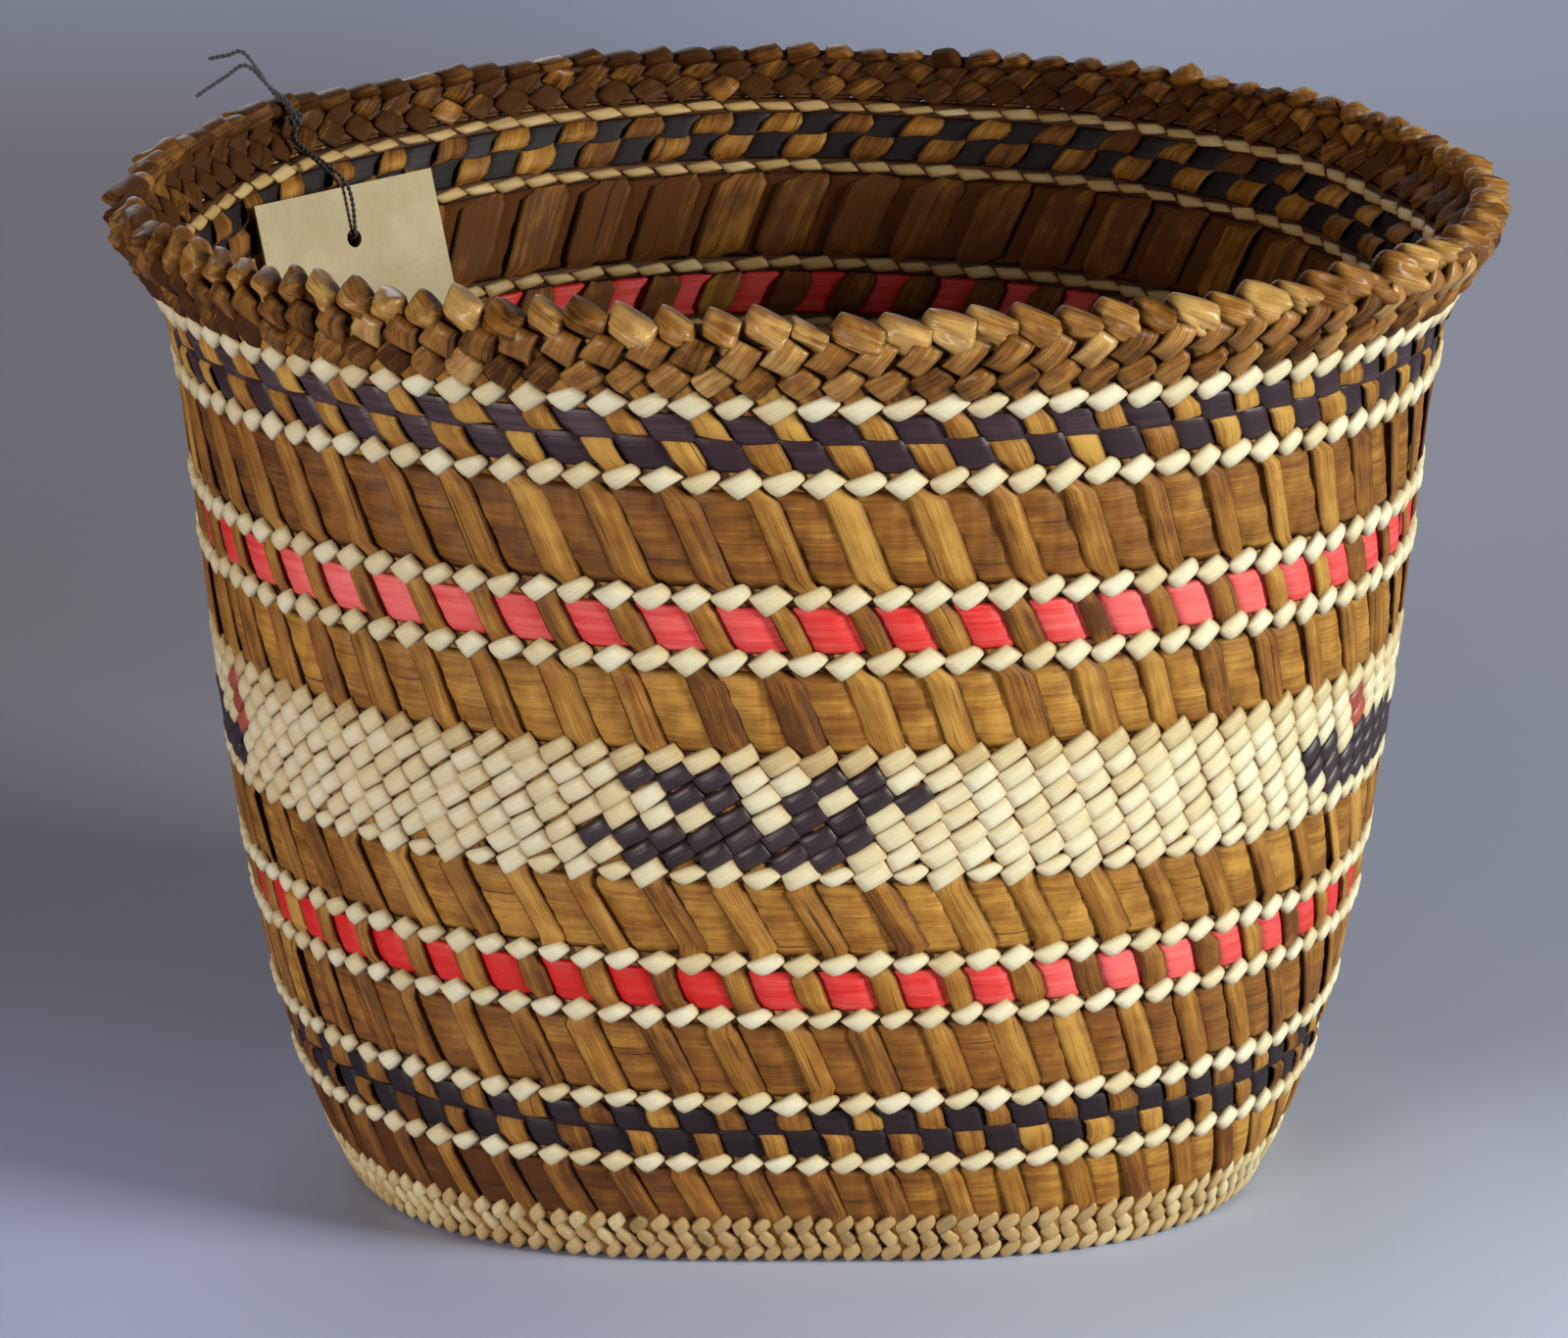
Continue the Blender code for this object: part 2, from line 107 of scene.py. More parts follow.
def half_width(height):
    """A straight lean, minus a curl that dies away above the foot, plus a flare near the lip."""
    level = np.minimum(height, LIP_HEIGHT)
    curl = FOOT_CURL * np.exp(-np.maximum(level, 0.0) / FOOT_CURL_REACH)
    flare = RIM_FLARE * np.exp((level - LIP_HEIGHT) / RIM_FLARE_REACH)
    return WAIST_HALF_WIDTH + WALL_LEAN * level - curl + flare


def wall(bearing, height, outward):
    """Point on the wall: a superellipse whose power falls quickly above the foot, plus an offset.

    Both sides are bowed towards the front, by the square of the cosine of the bearing.
    The courses climb behind: by height times one minus its fifth power, eased in from the sides.
    Slow waves along the rim, of under a millimetre, keep it from looking turned on a lathe.
    """
    bearing, height, outward = np.broadcast_arrays(bearing, height, outward)
    level = np.clip(height / EDGE_HEIGHT, 0.0, 1.0)
    height = height + BACK_CLIMB * soft_step(np.sin(bearing), -0.35, 0.95) * level * (1.0 - level ** 5)
    share = np.clip(height / LIP_HEIGHT, 0.0, 1.0)
    power = RIM_SQUARENESS + (FOOT_SQUARENESS - RIM_SQUARENESS) * (1.0 - share) ** SQUARENESS_FADE
    cosine, sine = np.cos(bearing), np.sin(bearing)
    reach = (np.abs(cosine) ** power + np.abs(sine) ** power) ** (-1.0 / power)
    wave = np.sin(3.0 * bearing + 0.6) + 0.6 * np.sin(7.0 * bearing + 2.0) + 0.4 * np.sin(13.0 * bearing)
    bulge = outward + RIM_WAVE_OUT * share ** 3 * wave
    half = half_width(height)
    across = (half + bulge) * reach * cosine
    deep = (half * DEPTH_RATIO + bulge) * reach * sine - SIDE_BOW * half * cosine ** 2
    rise = height + share ** 4 * (RIM_TWIST * np.sin(2.0 * bearing + 1.0) + RIM_WAVE_UP * wave)
    return np.stack([across, deep, rise], -1)


print("half width at the foot", round(float(half_width(0.0)), 4), "and at the lip",
      round(float(half_width(LIP_HEIGHT)), 4))

# %% [markdown]
# ## The uprights' paths
#
# There are 104 uprights, because the plaited base has 26 strips each way and each strip has two ends.
# They lean over more and more as they rise. The drift along the wall is the tangent of the lean, and
# summing that up the wall gives the bearing of any upright at any height.

# %% Where an upright is at a height
UPRIGHTS = 104
EVERY = np.arange(UPRIGHTS)
PITCH = TAU / UPRIGHTS
FOOT_SLANT = math.tan(math.radians(16.3))
LIP_SLANT = math.tan(math.radians(28.5))
FIRST_UPRIGHT = math.radians(278.1)
SQUARE_PLAN_EXCESS = 1.015


def upright_turn(height):
    """The lean's tangent, growing evenly with height, summed from the foot and divided by the radius."""
    gained = (LIP_SLANT - FOOT_SLANT) * height * height / (2.0 * LIP_HEIGHT)
    return (FOOT_SLANT * height + gained) / WAIST_HALF_WIDTH


def upright_bearing(number, height):
    """Bearing of an upright's middle line at a height."""
    return FIRST_UPRIGHT + number * PITCH - upright_turn(height)


def upright_number(bearing, height):
    """The other way round: which upright, as a fraction, stands at a bearing and height."""
    return (bearing - FIRST_UPRIGHT + upright_turn(height)) / PITCH


def pitch_width(height):
    """Width of wall that one upright has: the pitch times the mean of both half widths."""
    return PITCH * half_width(height) * 0.5 * (1.0 + DEPTH_RATIO) * SQUARE_PLAN_EXCESS


def toward(bearing, degrees):
    """Cosine of the angle from one bearing, so 1 there and 0 at a right angle to it."""
    return np.cos(bearing - math.radians(degrees))


print("one upright every", round(float(pitch_width(0.17)) * 1000, 2), "mm near the top")

# %% [markdown]
# ## The order of the courses
#
# A plain weave alternates: an upright that shows in front of one strip hides behind the next. The
# figured band counts as a course of its own, so uprights that enter it in front also leave it in
# front. Numbering the courses from the top makes that a sum: upright plus course even means in front.
#
# One table holds what is special about each strip: its number as a course, its tone, how much steeper
# the uprights stand there than on their own path, how much paler a brown strip is on the right, partly
# its own yellower bark and partly painted light, and the bearings where a dyed strip is paler, partly
# dye gone pale and partly painted sheen. A second table holds what all strips of a kind share.

# %% The level strips and the rows of twining, from the top down
Strip = namedtuple("Strip", "order tone steeper right faded", defaults=(0.03, 0.05, (90.0,)))
STRIPS = {
    "purple_strip_1": Strip(0, 0.52, faded=(235.0,)),
    "purple_strip_2": Strip(1, 0.44, faded=(235.0,)),
    "wide_strip_1": Strip(2, 0.44, 0.20, 0.14),
    "red_strip_1": Strip(3, 0.50, faded=(230.0, 312.0)),
    "wide_strip_2": Strip(4, 0.62, 0.14, 0.16),
    "wide_strip_3": Strip(6, 0.58, -0.15),
    "red_strip_2": Strip(7, 0.46, faded=(305.0,)),
    "wide_strip_4": Strip(8, 0.58, -0.06, -0.08),
    "purple_strip_3": Strip(9, 0.22),
    "purple_strip_4": Strip(10, 0.16),
    "wide_strip_5": Strip(11, 0.14, -0.10, 0.58),
}
Kind = namedtuple("Kind", "slot front_share back_share inside_tone fade")
# The inside column darkens the inner face of bark and purple strips as painted shade; red's is paler.
KINDS = {
    "wide": Kind("cedar_strip", 0.95, 1.50, -0.38, 0.0),
    "red": Kind("red_strip", 0.82, 1.10, 0.12, 0.30),
    "purple": Kind("purple_strip", 0.94, 1.10, -0.45, 0.14),
}
BAND_ORDER = 6
GRASS_ROWS = {f"grass_row_{row}": order for row, order in enumerate((0, 2, 3, 4, 7, 8, 9, 11), 1)}
FIGURED_ROWS = [f"figured_row_{row}" for row in range(1, 8)]
FOOT_ROWS = [f"foot_row_{row}" for row in range(1, 4)]
print(len(STRIPS), "strips and", len(GRASS_ROWS) + len(FIGURED_ROWS) + len(FOOT_ROWS), "rows of grass")

# %% [markdown]
# ## One builder for every strip, stitch and strand
#
# A strip of bark, a grass stitch and a thread are all the same kind of body: a section carried along
# a path. If the points are kept in one array, with axes for the piece, the station along it and the
# corner of its section, then the faces of all pieces follow from one small table of indices. The
# alternative, a loop that adds one vertex after another, is slow and hard to read.
#
# Each point also carries facts for its finish: how far along and across the strip it lies, in metres,
# a number of its own for each piece, a tint, and how much dye it has taken.

# %% Turn an array of sections into a mesh object


def section_faces(stations, corners, ring):
    """Quads between each station and the next, and two end caps where the piece isn't a ring."""
    station = np.arange(stations if ring else stations - 1)[:, None]
    corner = np.arange(corners)[None, :]
    beside = (corner + 1) % corners
    here = station * corners
    ahead = ((station + 1) % stations) * corners
    quads = np.stack([here + corner, here + beside, ahead + beside, ahead + corner], -1).reshape(-1, 4)
    caps = np.zeros((0, corners), int)
    if not ring:
        caps = np.stack([np.arange(corners)[::-1], (stations - 1) * corners + np.arange(corners)])
    return quads, caps


def enclosed_volume(points, faces):
    """Sum of the signed pyramids from the origin to each face, fanned into triangles."""
    total = 0.0
    for side in range(1, faces.shape[1] - 1):
        one, two, three = (points[faces[:, index]] for index in (0, side, side + 1))
        total += np.einsum("ij,ij->", one, np.cross(two, three)) / 6.0
    return total


def add_woven(name, points, facts, finish, body="basket", ring=False, replaces=()):
    """points[piece, station, corner] becomes one mesh, and facts are arrays that spread over it."""
    pieces, stations, corners = points.shape[:3]
    quads, caps = section_faces(stations, corners, ring)
    shift = (np.arange(pieces) * stations * corners)[:, None, None]
    quads = (quads[None] + shift).reshape(-1, 4)
    caps = (caps[None] + shift).reshape(-1, corners)
    flat = points.reshape(-1, 3)
    if enclosed_volume(flat, quads) + enclosed_volume(flat, caps) < 0.0:
        quads, caps = quads[:, ::-1], caps[:, ::-1]
    mesh = bpy.data.meshes.new(name)
    mesh.from_pydata(flat.tolist(), [], quads.tolist() + caps.tolist())
    mesh.polygons.foreach_set("use_smooth", np.ones(len(mesh.polygons), bool))
    for key, value in facts.items():
        vector = key == "lay"
        shape = (pieces, stations, corners, 3) if vector else (pieces, stations, corners)
        spread = np.broadcast_to(value, shape).astype(np.float32)
        store = mesh.attributes.new(key, "FLOAT_VECTOR" if vector else "FLOAT", "POINT")
        store.data.foreach_set("vector" if vector else "value", np.ascontiguousarray(spread).ravel())
    mesh.update()
    obj = bpy.data.objects.new(name, mesh)
    bpy.context.scene.collection.objects.link(obj)
    mesh.materials.append(finish)
    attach(obj, body)
    if replaces:
        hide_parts(*replaces)
    print(f"{name}: {pieces} pieces, {len(quads) * 2 + len(caps) * (corners - 2)} triangles")


def lay_facts(along, across, number):
    """Distance along and across a strip, with a third coordinate that sets each piece apart."""
    return np.stack(np.broadcast_arrays(along, across, number), -1)


def flat_section(shoulder):
    """Corners of a flat ribbon in shares of its width and thickness, with shoulders near its edges."""
    place = np.array([-0.5, -shoulder, 0.0, shoulder, 0.5, shoulder, 0.0, -shoulder])
    side = np.array([0.0, 0.5, 0.5, 0.5, 0.0, -0.5, -0.5, -0.5])
    return place, side


def near_edge(share, power):
    """Distance from the middle of a share from 0 to 1, doubled and raised, so it is 1 at both edges."""
    return np.abs(2.0 * share - 1.0) ** power


# %% [markdown]
# ## A small language for shaders
#
# A finish is a sum of masks and noises. Written as nodes, each sum takes several lines, so one small
# class wraps a socket and gives it the ordinary signs of arithmetic. After that, "1 - mask * 0.3"
# adds its Math nodes by itself. All other nodes come from one method.

# %% A socket that can be added and multiplied, and a finish that makes nodes


class Wire:
    """One socket of a finish. Arithmetic on it adds Math nodes."""

    def __init__(self, finish, socket):
        self.finish = finish
        self.socket = socket

    def maths(self, operation, first, second):
        return self.finish.node("ShaderNodeMath", {"operation": operation}, {0: first, 1: second})

    def __add__(self, other):
        return self.maths("ADD", self, other)

    def __radd__(self, other):
        return self.maths("ADD", other, self)

    def __sub__(self, other):
        return self.maths("SUBTRACT", self, other)

    def __rsub__(self, other):
        return self.maths("SUBTRACT", other, self)

    def __mul__(self, other):
        return self.maths("MULTIPLY", self, other)

    def __rmul__(self, other):
        return self.maths("MULTIPLY", other, self)

    def clamp(self):
        """The same value, held between nothing and one."""
        return self.maths("MINIMUM", self.maths("MAXIMUM", self, 0.0), 1.0)

    def step(self, low, high):
        """A soft step from 0 at low to 1 at high."""
        settings = {"interpolation_type": "SMOOTHSTEP"}
        return self.finish.node("ShaderNodeMapRange", settings, {0: self, 1: low, 2: high})


class Finish:
    """A material with one Principled shader, and a short way to add its nodes."""

    def __init__(self, name):
        self.material = bpy.data.materials.new(name)
        self.material.use_nodes = True
        self.tree = self.material.node_tree
        self.skin = self.tree.nodes["Principled BSDF"]

    def node(self, kind, settings=None, inputs=None, output=0):
        """A new node with these settings. A wire is plugged in, and any other value is set."""
        made = self.tree.nodes.new(kind)
        for key, value in (settings or {}).items():
            setattr(made, key, value)
        for key, value in (inputs or {}).items():
            if isinstance(value, Wire):
                self.tree.links.new(value.socket, made.inputs[key])
            else:
                made.inputs[key].default_value = value
        return Wire(self, made.outputs[output])

    def lay(self):
        """Distances along and across the strip, which the mesh carries as a vector."""
        return self.node("ShaderNodeAttribute", {"attribute_name": "lay"}, output=1)

    def fact(self, name):
        """A number that the mesh carries."""
        return self.node("ShaderNodeAttribute", {"attribute_name": name}, output=2)

    def grain(self, place, stretch, detail=4.0, roughness=0.55, distortion=0.0):
        """Noise whose grains are 1 / stretch metres long on each axis."""
        stretched = self.node("ShaderNodeVectorMath", {"operation": "MULTIPLY"}, {0: place, 1: stretch})
        inputs = {"Vector": stretched, "Scale": 1.0, "Detail": detail, "Roughness": roughness,
                  "Distortion": distortion}
        return self.node("ShaderNodeTexNoise", None, inputs)

    def mix(self, factor, first, second):
        """Colour between two colours, each a wire or a screen colour."""
        first, second = (colour if isinstance(colour, Wire) else (*linear(colour), 1.0)
                         for colour in (first, second))
        return self.node("ShaderNodeMix", {"data_type": "RGBA"}, {0: factor, 6: first, 7: second}, output=2)

    def plug(self, wire, name):
        self.tree.links.new(wire.socket, self.skin.inputs[name])

    def surface(self, colour, roughness, height=None, relief=0.0, fixed=None):
        """Plug in the colour, the roughness and a bump, and set the sockets that stay the same."""
        self.plug(colour, "Base Color")
        self.plug(roughness, "Roughness")
        if height is not None:
            inputs = {"Strength": 1.0, "Distance": relief, "Height": height}
            self.plug(self.node("ShaderNodeBump", None, inputs), "Normal")
        for key, value in (fixed or {}).items():
            self.skin.inputs[key].default_value = value
        return self.material


def linear(colour):
    """Screen colour from 0 to 255 as the light that Blender works with."""
    screen = np.asarray(colour, float) / 255.0
    return tuple(np.where(screen <= 0.04045, screen / 12.92, ((screen + 0.055) / 1.055) ** 2.4).tolist())


print("shader language ready")

# %% [markdown]
# ## The bark
#
# Inner cedar bark splits into long flat ribbons. It has fine lines along its length, broad bands that
# are paler or redder, and a dull waxy shine on the proud places. Straight noise would look like
# cloth, so the noise is stretched forty times along the strip. The lines come from the strip's own
# coordinates and so follow it through every bend.

# %% Finish for all kinds of bark


def bark_finish(name, dark, middle, pale, relief=0.00022, shine=0.42, streaks=0.9, wax=0.0):
    """Bark: long lines, broad bands, a tint for each strip, and painted shade in slits, creases and at
    edges.

    Dark bark is dull: below a tint of 0.46 it gets rougher. Wax adds a thin coat where it is pale.
    """
    finish = Finish(name)
    lay = finish.lay()
    tint = finish.fact("tint")
    lines = finish.grain(lay, (70.0, 2600.0, 31.0), 5.0, 0.62, 0.3)
    bands = finish.grain(lay, (45.0, 420.0, 17.0), 3.0, 0.5, 0.4)
    blotches = finish.grain(lay, (160.0, 160.0, 11.0), 3.0, 0.6)
    creases = finish.grain(lay, (900.0, 90.0, 23.0), 3.0, 0.7, 0.8).step(0.62, 0.78)
    slits = finish.grain(lay, (26.0, 800.0, 29.0), 2.0, 0.5).step(0.68, 0.73)
    tone = ((lines - 0.5) + (bands - 0.5)) * streaks + (blotches - 0.5) * 0.6 + tint
    colour = finish.mix(tone.step(0.18, 0.60), dark, middle)
    colour = finish.mix(tone.step(0.50, 1.00), colour, pale)
    # Painted shade: darker in the creases and near black in the slits.
    colour = finish.mix((creases * 0.30).clamp(), colour, dark)
    colour = finish.mix((slits * 0.75).clamp(), colour, (40, 20, 8))
    # Painted shade: darker along the edges of each piece.
    colour = finish.mix((finish.fact("edge") * 0.75).clamp(), colour, dark)
    roughness = (shine + 0.30 * lines - 0.10 * bands + (0.46 - tint).clamp() * 0.9).clamp()
    height = lines * 0.8 + bands * 0.5 - creases * 0.35 + blotches * 0.3 - slits * 0.6
    if wax:
        finish.plug(((tint - 0.36) * 3.0 * wax).clamp(), "Coat Weight")
    fixed = {"Specular IOR Level": 0.16 if wax else 0.31, "Coat Roughness": 0.26}
    return finish.surface(colour, roughness, height, relief, fixed)


UPRIGHT_BARK = bark_finish("cedar_upright", (96, 54, 12), (157, 104, 33), (206, 158, 72))
STRIP_BARK = bark_finish("cedar_strip", (86, 47, 12), (140, 88, 25), (206, 154, 64), relief=0.00012,
                         shine=0.44, streaks=0.60)
RIM_BARK = bark_finish("cedar_rim", (72, 41, 10), (155, 103, 41), (220, 178, 104), relief=0.00026,
                       shine=0.24, streaks=0.70, wax=0.4)
BASE_BARK = bark_finish("cedar_base", (88, 50, 18), (150, 98, 44), (182, 130, 70))
# Painted shade: the hidden cores of the rows are dark, as deep in the wall.
CORE_SHADE_BARK = bark_finish("cedar_core_shade", (52, 28, 10), (88, 54, 22), (120, 80, 38))
print("bark finishes ready")

# %% [markdown]
# ## The grass
#
# The pale stitches are split grass leaf, smooth and glossy, with hair lines along the leaf. In the
# figured band the same leaf was dyed almost black. The dye is a fact that each stitch carries, so one
# finish serves both, and a stitch changes colour exactly at its own edge.

# %% Finish for the grass stitches


def grass_finish():
    """Grass: cream with hair lines, each stitch a little different, and dye where the figure is.

    Tan at the tucked ends and brown at the edges are painted shade.
    """
    finish = Finish("bear_grass")
    lay = finish.lay()
    dye = finish.fact("dye")
    hairs = finish.grain(lay, (60.0, 3600.0, 31.0), 3.0, 0.5)
    clouds = finish.grain(lay, (120.0, 260.0, 13.0), 2.0, 0.5)
    tone = finish.fact("tint") + (hairs - 0.5) * 0.5 + (clouds - 0.5) * 0.5
    cream = finish.mix(tone.step(-0.45, 0.10), (132, 106, 64), (194, 162, 106))
    cream = finish.mix(tone.step(0.05, 0.50), cream, (226, 211, 162))
    cream = finish.mix(tone.step(0.45, 0.95), cream, (244, 238, 204))
    # Painted shade: tan at the stitch's tucked ends and brown along its edges.
    cream = finish.mix((finish.fact("end") * 0.75).clamp(), cream, (190, 150, 86))
    cream = finish.mix((finish.fact("edge") * 0.65).clamp(), cream, (120, 82, 40))
    plum = finish.mix(tone.step(0.20, 0.95), (22, 12, 15), (62, 45, 49))
    rust = finish.mix(tone.step(0.20, 0.95), (130, 50, 30), (196, 96, 70))
    colour = finish.mix(dye.step(0.2, 0.4), cream, plum)
    colour = finish.mix(dye.step(1.3, 1.6), colour, rust)
    return finish.surface(colour, (0.30 + 0.22 * hairs).clamp(), hairs, 0.00012, {"Specular IOR Level": 0.5})


GRASS = grass_finish()
print("grass finish ready")

# %% [markdown]
# ## The dyed strips
#
# The red strips are thin and smooth, and pink in places, partly where the dye has gone pale and partly
# as painted sheen. The purple strips are darker and shinier, with brown showing through. Both vary
# slowly round the basket. That pale colour is carried as the tint, because it belongs to a place on the
# strip and not to the grain.

# %% Finishes for the red and purple strips


def dyed_finish(name, deep, full, faded, shine):
    """Dyed strip: fine lines over a slow change to the pale colour, for dye gone pale and painted sheen.

    The deep colour at its edges is painted shade.
    """
    finish = Finish(name)
    lay = finish.lay()
    tint = finish.fact("tint")
    lines = finish.grain(lay, (40.0, 2400.0, 31.0), 4.0, 0.55)
    streaks = finish.grain(lay, (70.0, 700.0, 19.0), 3.0, 0.5)
    tone = tint + (lines - 0.5) * 0.30 + (streaks - 0.5) * 0.45
    colour = finish.mix(tone.step(0.00, 0.50), deep, full)
    colour = finish.mix(tone.step(0.45, 1.00), colour, faded)
    # Painted shade: the deep colour along the strip's edges.
    colour = finish.mix((finish.fact("edge") * 0.35).clamp(), colour, deep)
    roughness = (shine + 0.20 * lines + (0.36 - tint).clamp() * 0.9).clamp()
    return finish.surface(colour, roughness, lines, 0.0001, {"Specular IOR Level": 0.36})


RED = dyed_finish("red_strip", (150, 20, 16), (220, 34, 26), (254, 122, 118), 0.42)
PURPLE = dyed_finish("purple_strip", (22, 11, 14), (52, 33, 39), (108, 86, 90), 0.28)
print("dye finishes ready")

# %% [markdown]
# ## Weaving the uprights
#
# Each upright is a flat ribbon that goes in and out. How far out it is at a height is a sum of soft
# windows, one for each strip: inside a window it moves to the front or to the back, and between the
# windows, where the twining holds it, it returns to the middle. The twining also pinches it, so its
# width follows the same windows. Fronts and backs of all 104 are worked out in one array.

# %% The ribbons of the uprights
UPRIGHT_MIDDLE = 0.0003
UPRIGHT_FRONT = 0.0012
UPRIGHT_BACK = -0.0012
UPRIGHT_THICKNESS = 0.0006
UPRIGHT_FOOT = 0.0012
UPRIGHT_TOP = LIP_HEIGHT + 0.0015
WINDOW_REACH = 0.0013
LEAST_GAP = 0.0004
PINCHED_CROWN = 0.00055
FLAT_CROWN = 0.00025
LIT_SIDE = 325.0
# Inner faces darker: partly the inner bark's own tone, partly painted shade inside the basket.
INSIDE_TONE_AND_SHADE = -0.28
UPPER_PURPLE_HIGHLIGHT = 0.20
UPRIGHT_TONE = 0.53
UPRIGHT_TONE_SPREAD = 0.10
FOOT_SHADE = 0.21
FOOT_SHADE_TOP = 0.070
PINCHED_SHARES = (0.55, 0.90)
SHOWN_SHARES = (0.80, 1.10)


def strip_window(height, node):
    """One inside a strip's height, zero outside, with a soft edge on each side."""
    low, high = course(node)
    opened = soft_step(height, low - WINDOW_REACH, low + WINDOW_REACH)
    return opened * (1.0 - soft_step(height, high - WINDOW_REACH, high + WINDOW_REACH))


def upright_levels():
    """Heights of the stations: close together near each edge of a strip, wider apart between."""
    levels = [UPRIGHT_FOOT, 0.004, 0.008, UPRIGHT_TOP, LIP_HEIGHT - 0.004, LIP_HEIGHT - 0.002]
    for node in STRIPS:
        low, high = course(node)
        levels += [edge + shift for edge in (low, high) for shift in (-WINDOW_REACH, 0.0, WINDOW_REACH)]
        levels += list(np.linspace(low, high, 5)[1:-1])
    levels += [sum(course(node)) / 2.0 for node in FIGURED_ROWS]
    levels = np.unique(np.round(levels, 4))
    return levels[np.insert(np.diff(levels) > LEAST_GAP, 0, True)]


def weave_uprights(numbers, name, replaces):
    """Place the ribbons of these uprights. Out is a window sum of front, back and middle.

    On the upper strips an upright stands steeper than its own path, on the lower ones it leans more,
    and it makes up for that in the rows. A ribbon is bowed across, more so where it is pinched.
    """
    levels = upright_levels()
    one_each = (len(numbers), 1)
    height = levels[None, :]
    number = numbers[:, None]
    drift = np.zeros((len(numbers), len(levels)))
    outward = UPRIGHT_MIDDLE + drift
    pinched = CHANCE.uniform(*PINCHED_SHARES, one_each)
    share = pinched + drift
    shady = FOOT_SHADE - 0.20 * toward(upright_bearing(number, height), LIT_SIDE)
    tint = UPRIGHT_TONE - shady * (1.0 - soft_step(height, 0.0, FOOT_SHADE_TOP))
    tint = tint + UPRIGHT_TONE_SPREAD * CHANCE.standard_normal(one_each)
    for node, strip in STRIPS.items():
        kind = KINDS[node.split("_")[0]]
        window = strip_window(height, node)
        in_front = (number + strip.order) % 2 == 0
        outward += window * (np.where(in_front, UPRIGHT_FRONT, UPRIGHT_BACK) - UPRIGHT_MIDDLE)
        full = kind.front_share * CHANCE.uniform(*SHOWN_SHARES, one_each)
        share += window * (np.where(in_front, full, kind.back_share) - pinched)
        # Painted highlight: uprights paler on the top two purple strips.
        paler = UPPER_PURPLE_HIGHLIGHT if strip.order < 2 else 0.0
        tint += window * (0.09 * CHANCE.standard_normal(one_each) + paler)
        low, high = course(node)
        risen = np.clip((height - low) / (high - low), 0.0, 1.0)
        drift += window * strip.steeper * (2.0 * risen - 1.0)
        drift += window * 0.06 * CHANCE.standard_normal(one_each)
    place, side = flat_section(0.36)
    across = (share * pitch_width(height))[..., None] * place
    unpinched = np.clip((share - 0.80) / 0.2, 0.0, 1.0)
    crown = PINCHED_CROWN + (FLAT_CROWN - PINCHED_CROWN) * unpinched
    bow = UPRIGHT_THICKNESS * side + crown[..., None] * (1.0 - (2.0 * place) ** 2)
    twist = 0.10 * CHANCE.standard_normal((len(numbers), 1, 1)) * across
    bearing = upright_bearing(number, height) + drift * PITCH
    bearing = bearing[..., None] + across / pitch_width(height)[..., None] * PITCH
    points = wall(bearing, height[..., None], outward[..., None] + bow + twist)
    facts = {
        "lay": lay_facts(height[..., None] * 1.15, across, number[..., None] * 0.37),
        # inner faces: partly their own darker tone, partly painted shade
        "tint": tint[..., None] + INSIDE_TONE_AND_SHADE * (side < 0.0),
        # edge: where painted shade darkens the ribbon's sides
        "edge": near_edge(place + 0.5, 6),
    }
    add_woven(name, points, facts, UPRIGHT_BARK, replaces=replaces)


weave_uprights(EVERY[0::2], "uprights_even", ["outer_uprights"])
weave_uprights(EVERY[1::2], "uprights_odd", ["inner_uprights"])

# %% [markdown]
# ## The level strips
#
# A level strip is a closed band that dives behind each upright in front of it and swells out between
# two of them. A cosine of the upright's number gives that wave. Because the uprights lean, the wave
# leans too: the number is asked for at each corner's own height. The cosine is squared off a little,
# since bark lies flat and bends late.

# %% The bands of bark, red and purple
STRIP_MIDDLE = 0.0003
STRIP_WAVE = 0.0006
STRIP_THICKNESS = 0.0006
STRIP_CROWN = 0.0002
STRIP_TUCK = 0.0008
MEAN_RADIUS = 0.118
SAMPLES_PER_UPRIGHT = 12
SPLICES = 9
SPLICE_TONE_SPREAD = 0.07


def round_the_wall(samples):
    """Bearings all the way round, this many for each upright."""
    return np.linspace(0.0, TAU, UPRIGHTS * samples, endpoint=False)


def squared_wave(phase, bend=0.25):
    """A cosine made squarer: the cosine over the root of its square plus bend squared."""
    wave = np.cos(phase)
    return wave * math.sqrt(1.0 + bend * bend) / np.sqrt(wave * wave + bend * bend)


def strip_tint(strip, fade, bearing, share):
    """The strip's own tone, and its pale places if it is dyed, from dye gone pale and painted sheen.

    Plain bark has splices, and is painted paler towards the lit side, partly also its own yellower bark.
    """
    tone = strip.tone + 0.04 * np.sin(bearing * 9.0 + CHANCE.uniform(0.0, TAU))
    if not fade:
        # Painted light: paler towards the lit side, partly also yellower bark there.
        tone = tone + strip.right * toward(bearing, LIT_SIDE)
        cuts = np.sort(CHANCE.uniform(0.0, TAU, SPLICES))
        patches = CHANCE.normal(0.0, SPLICE_TONE_SPREAD, SPLICES + 1)
        return tone + patches[np.searchsorted(cuts, np.mod(bearing + 0.05 * share, TAU))]
    # Paler towards these bearings: partly dye gone pale, partly painted sheen.
    for side in strip.faded:
        tone = tone + fade * np.clip(toward(bearing, side), 0.0, 1.0) ** 6
    return tone


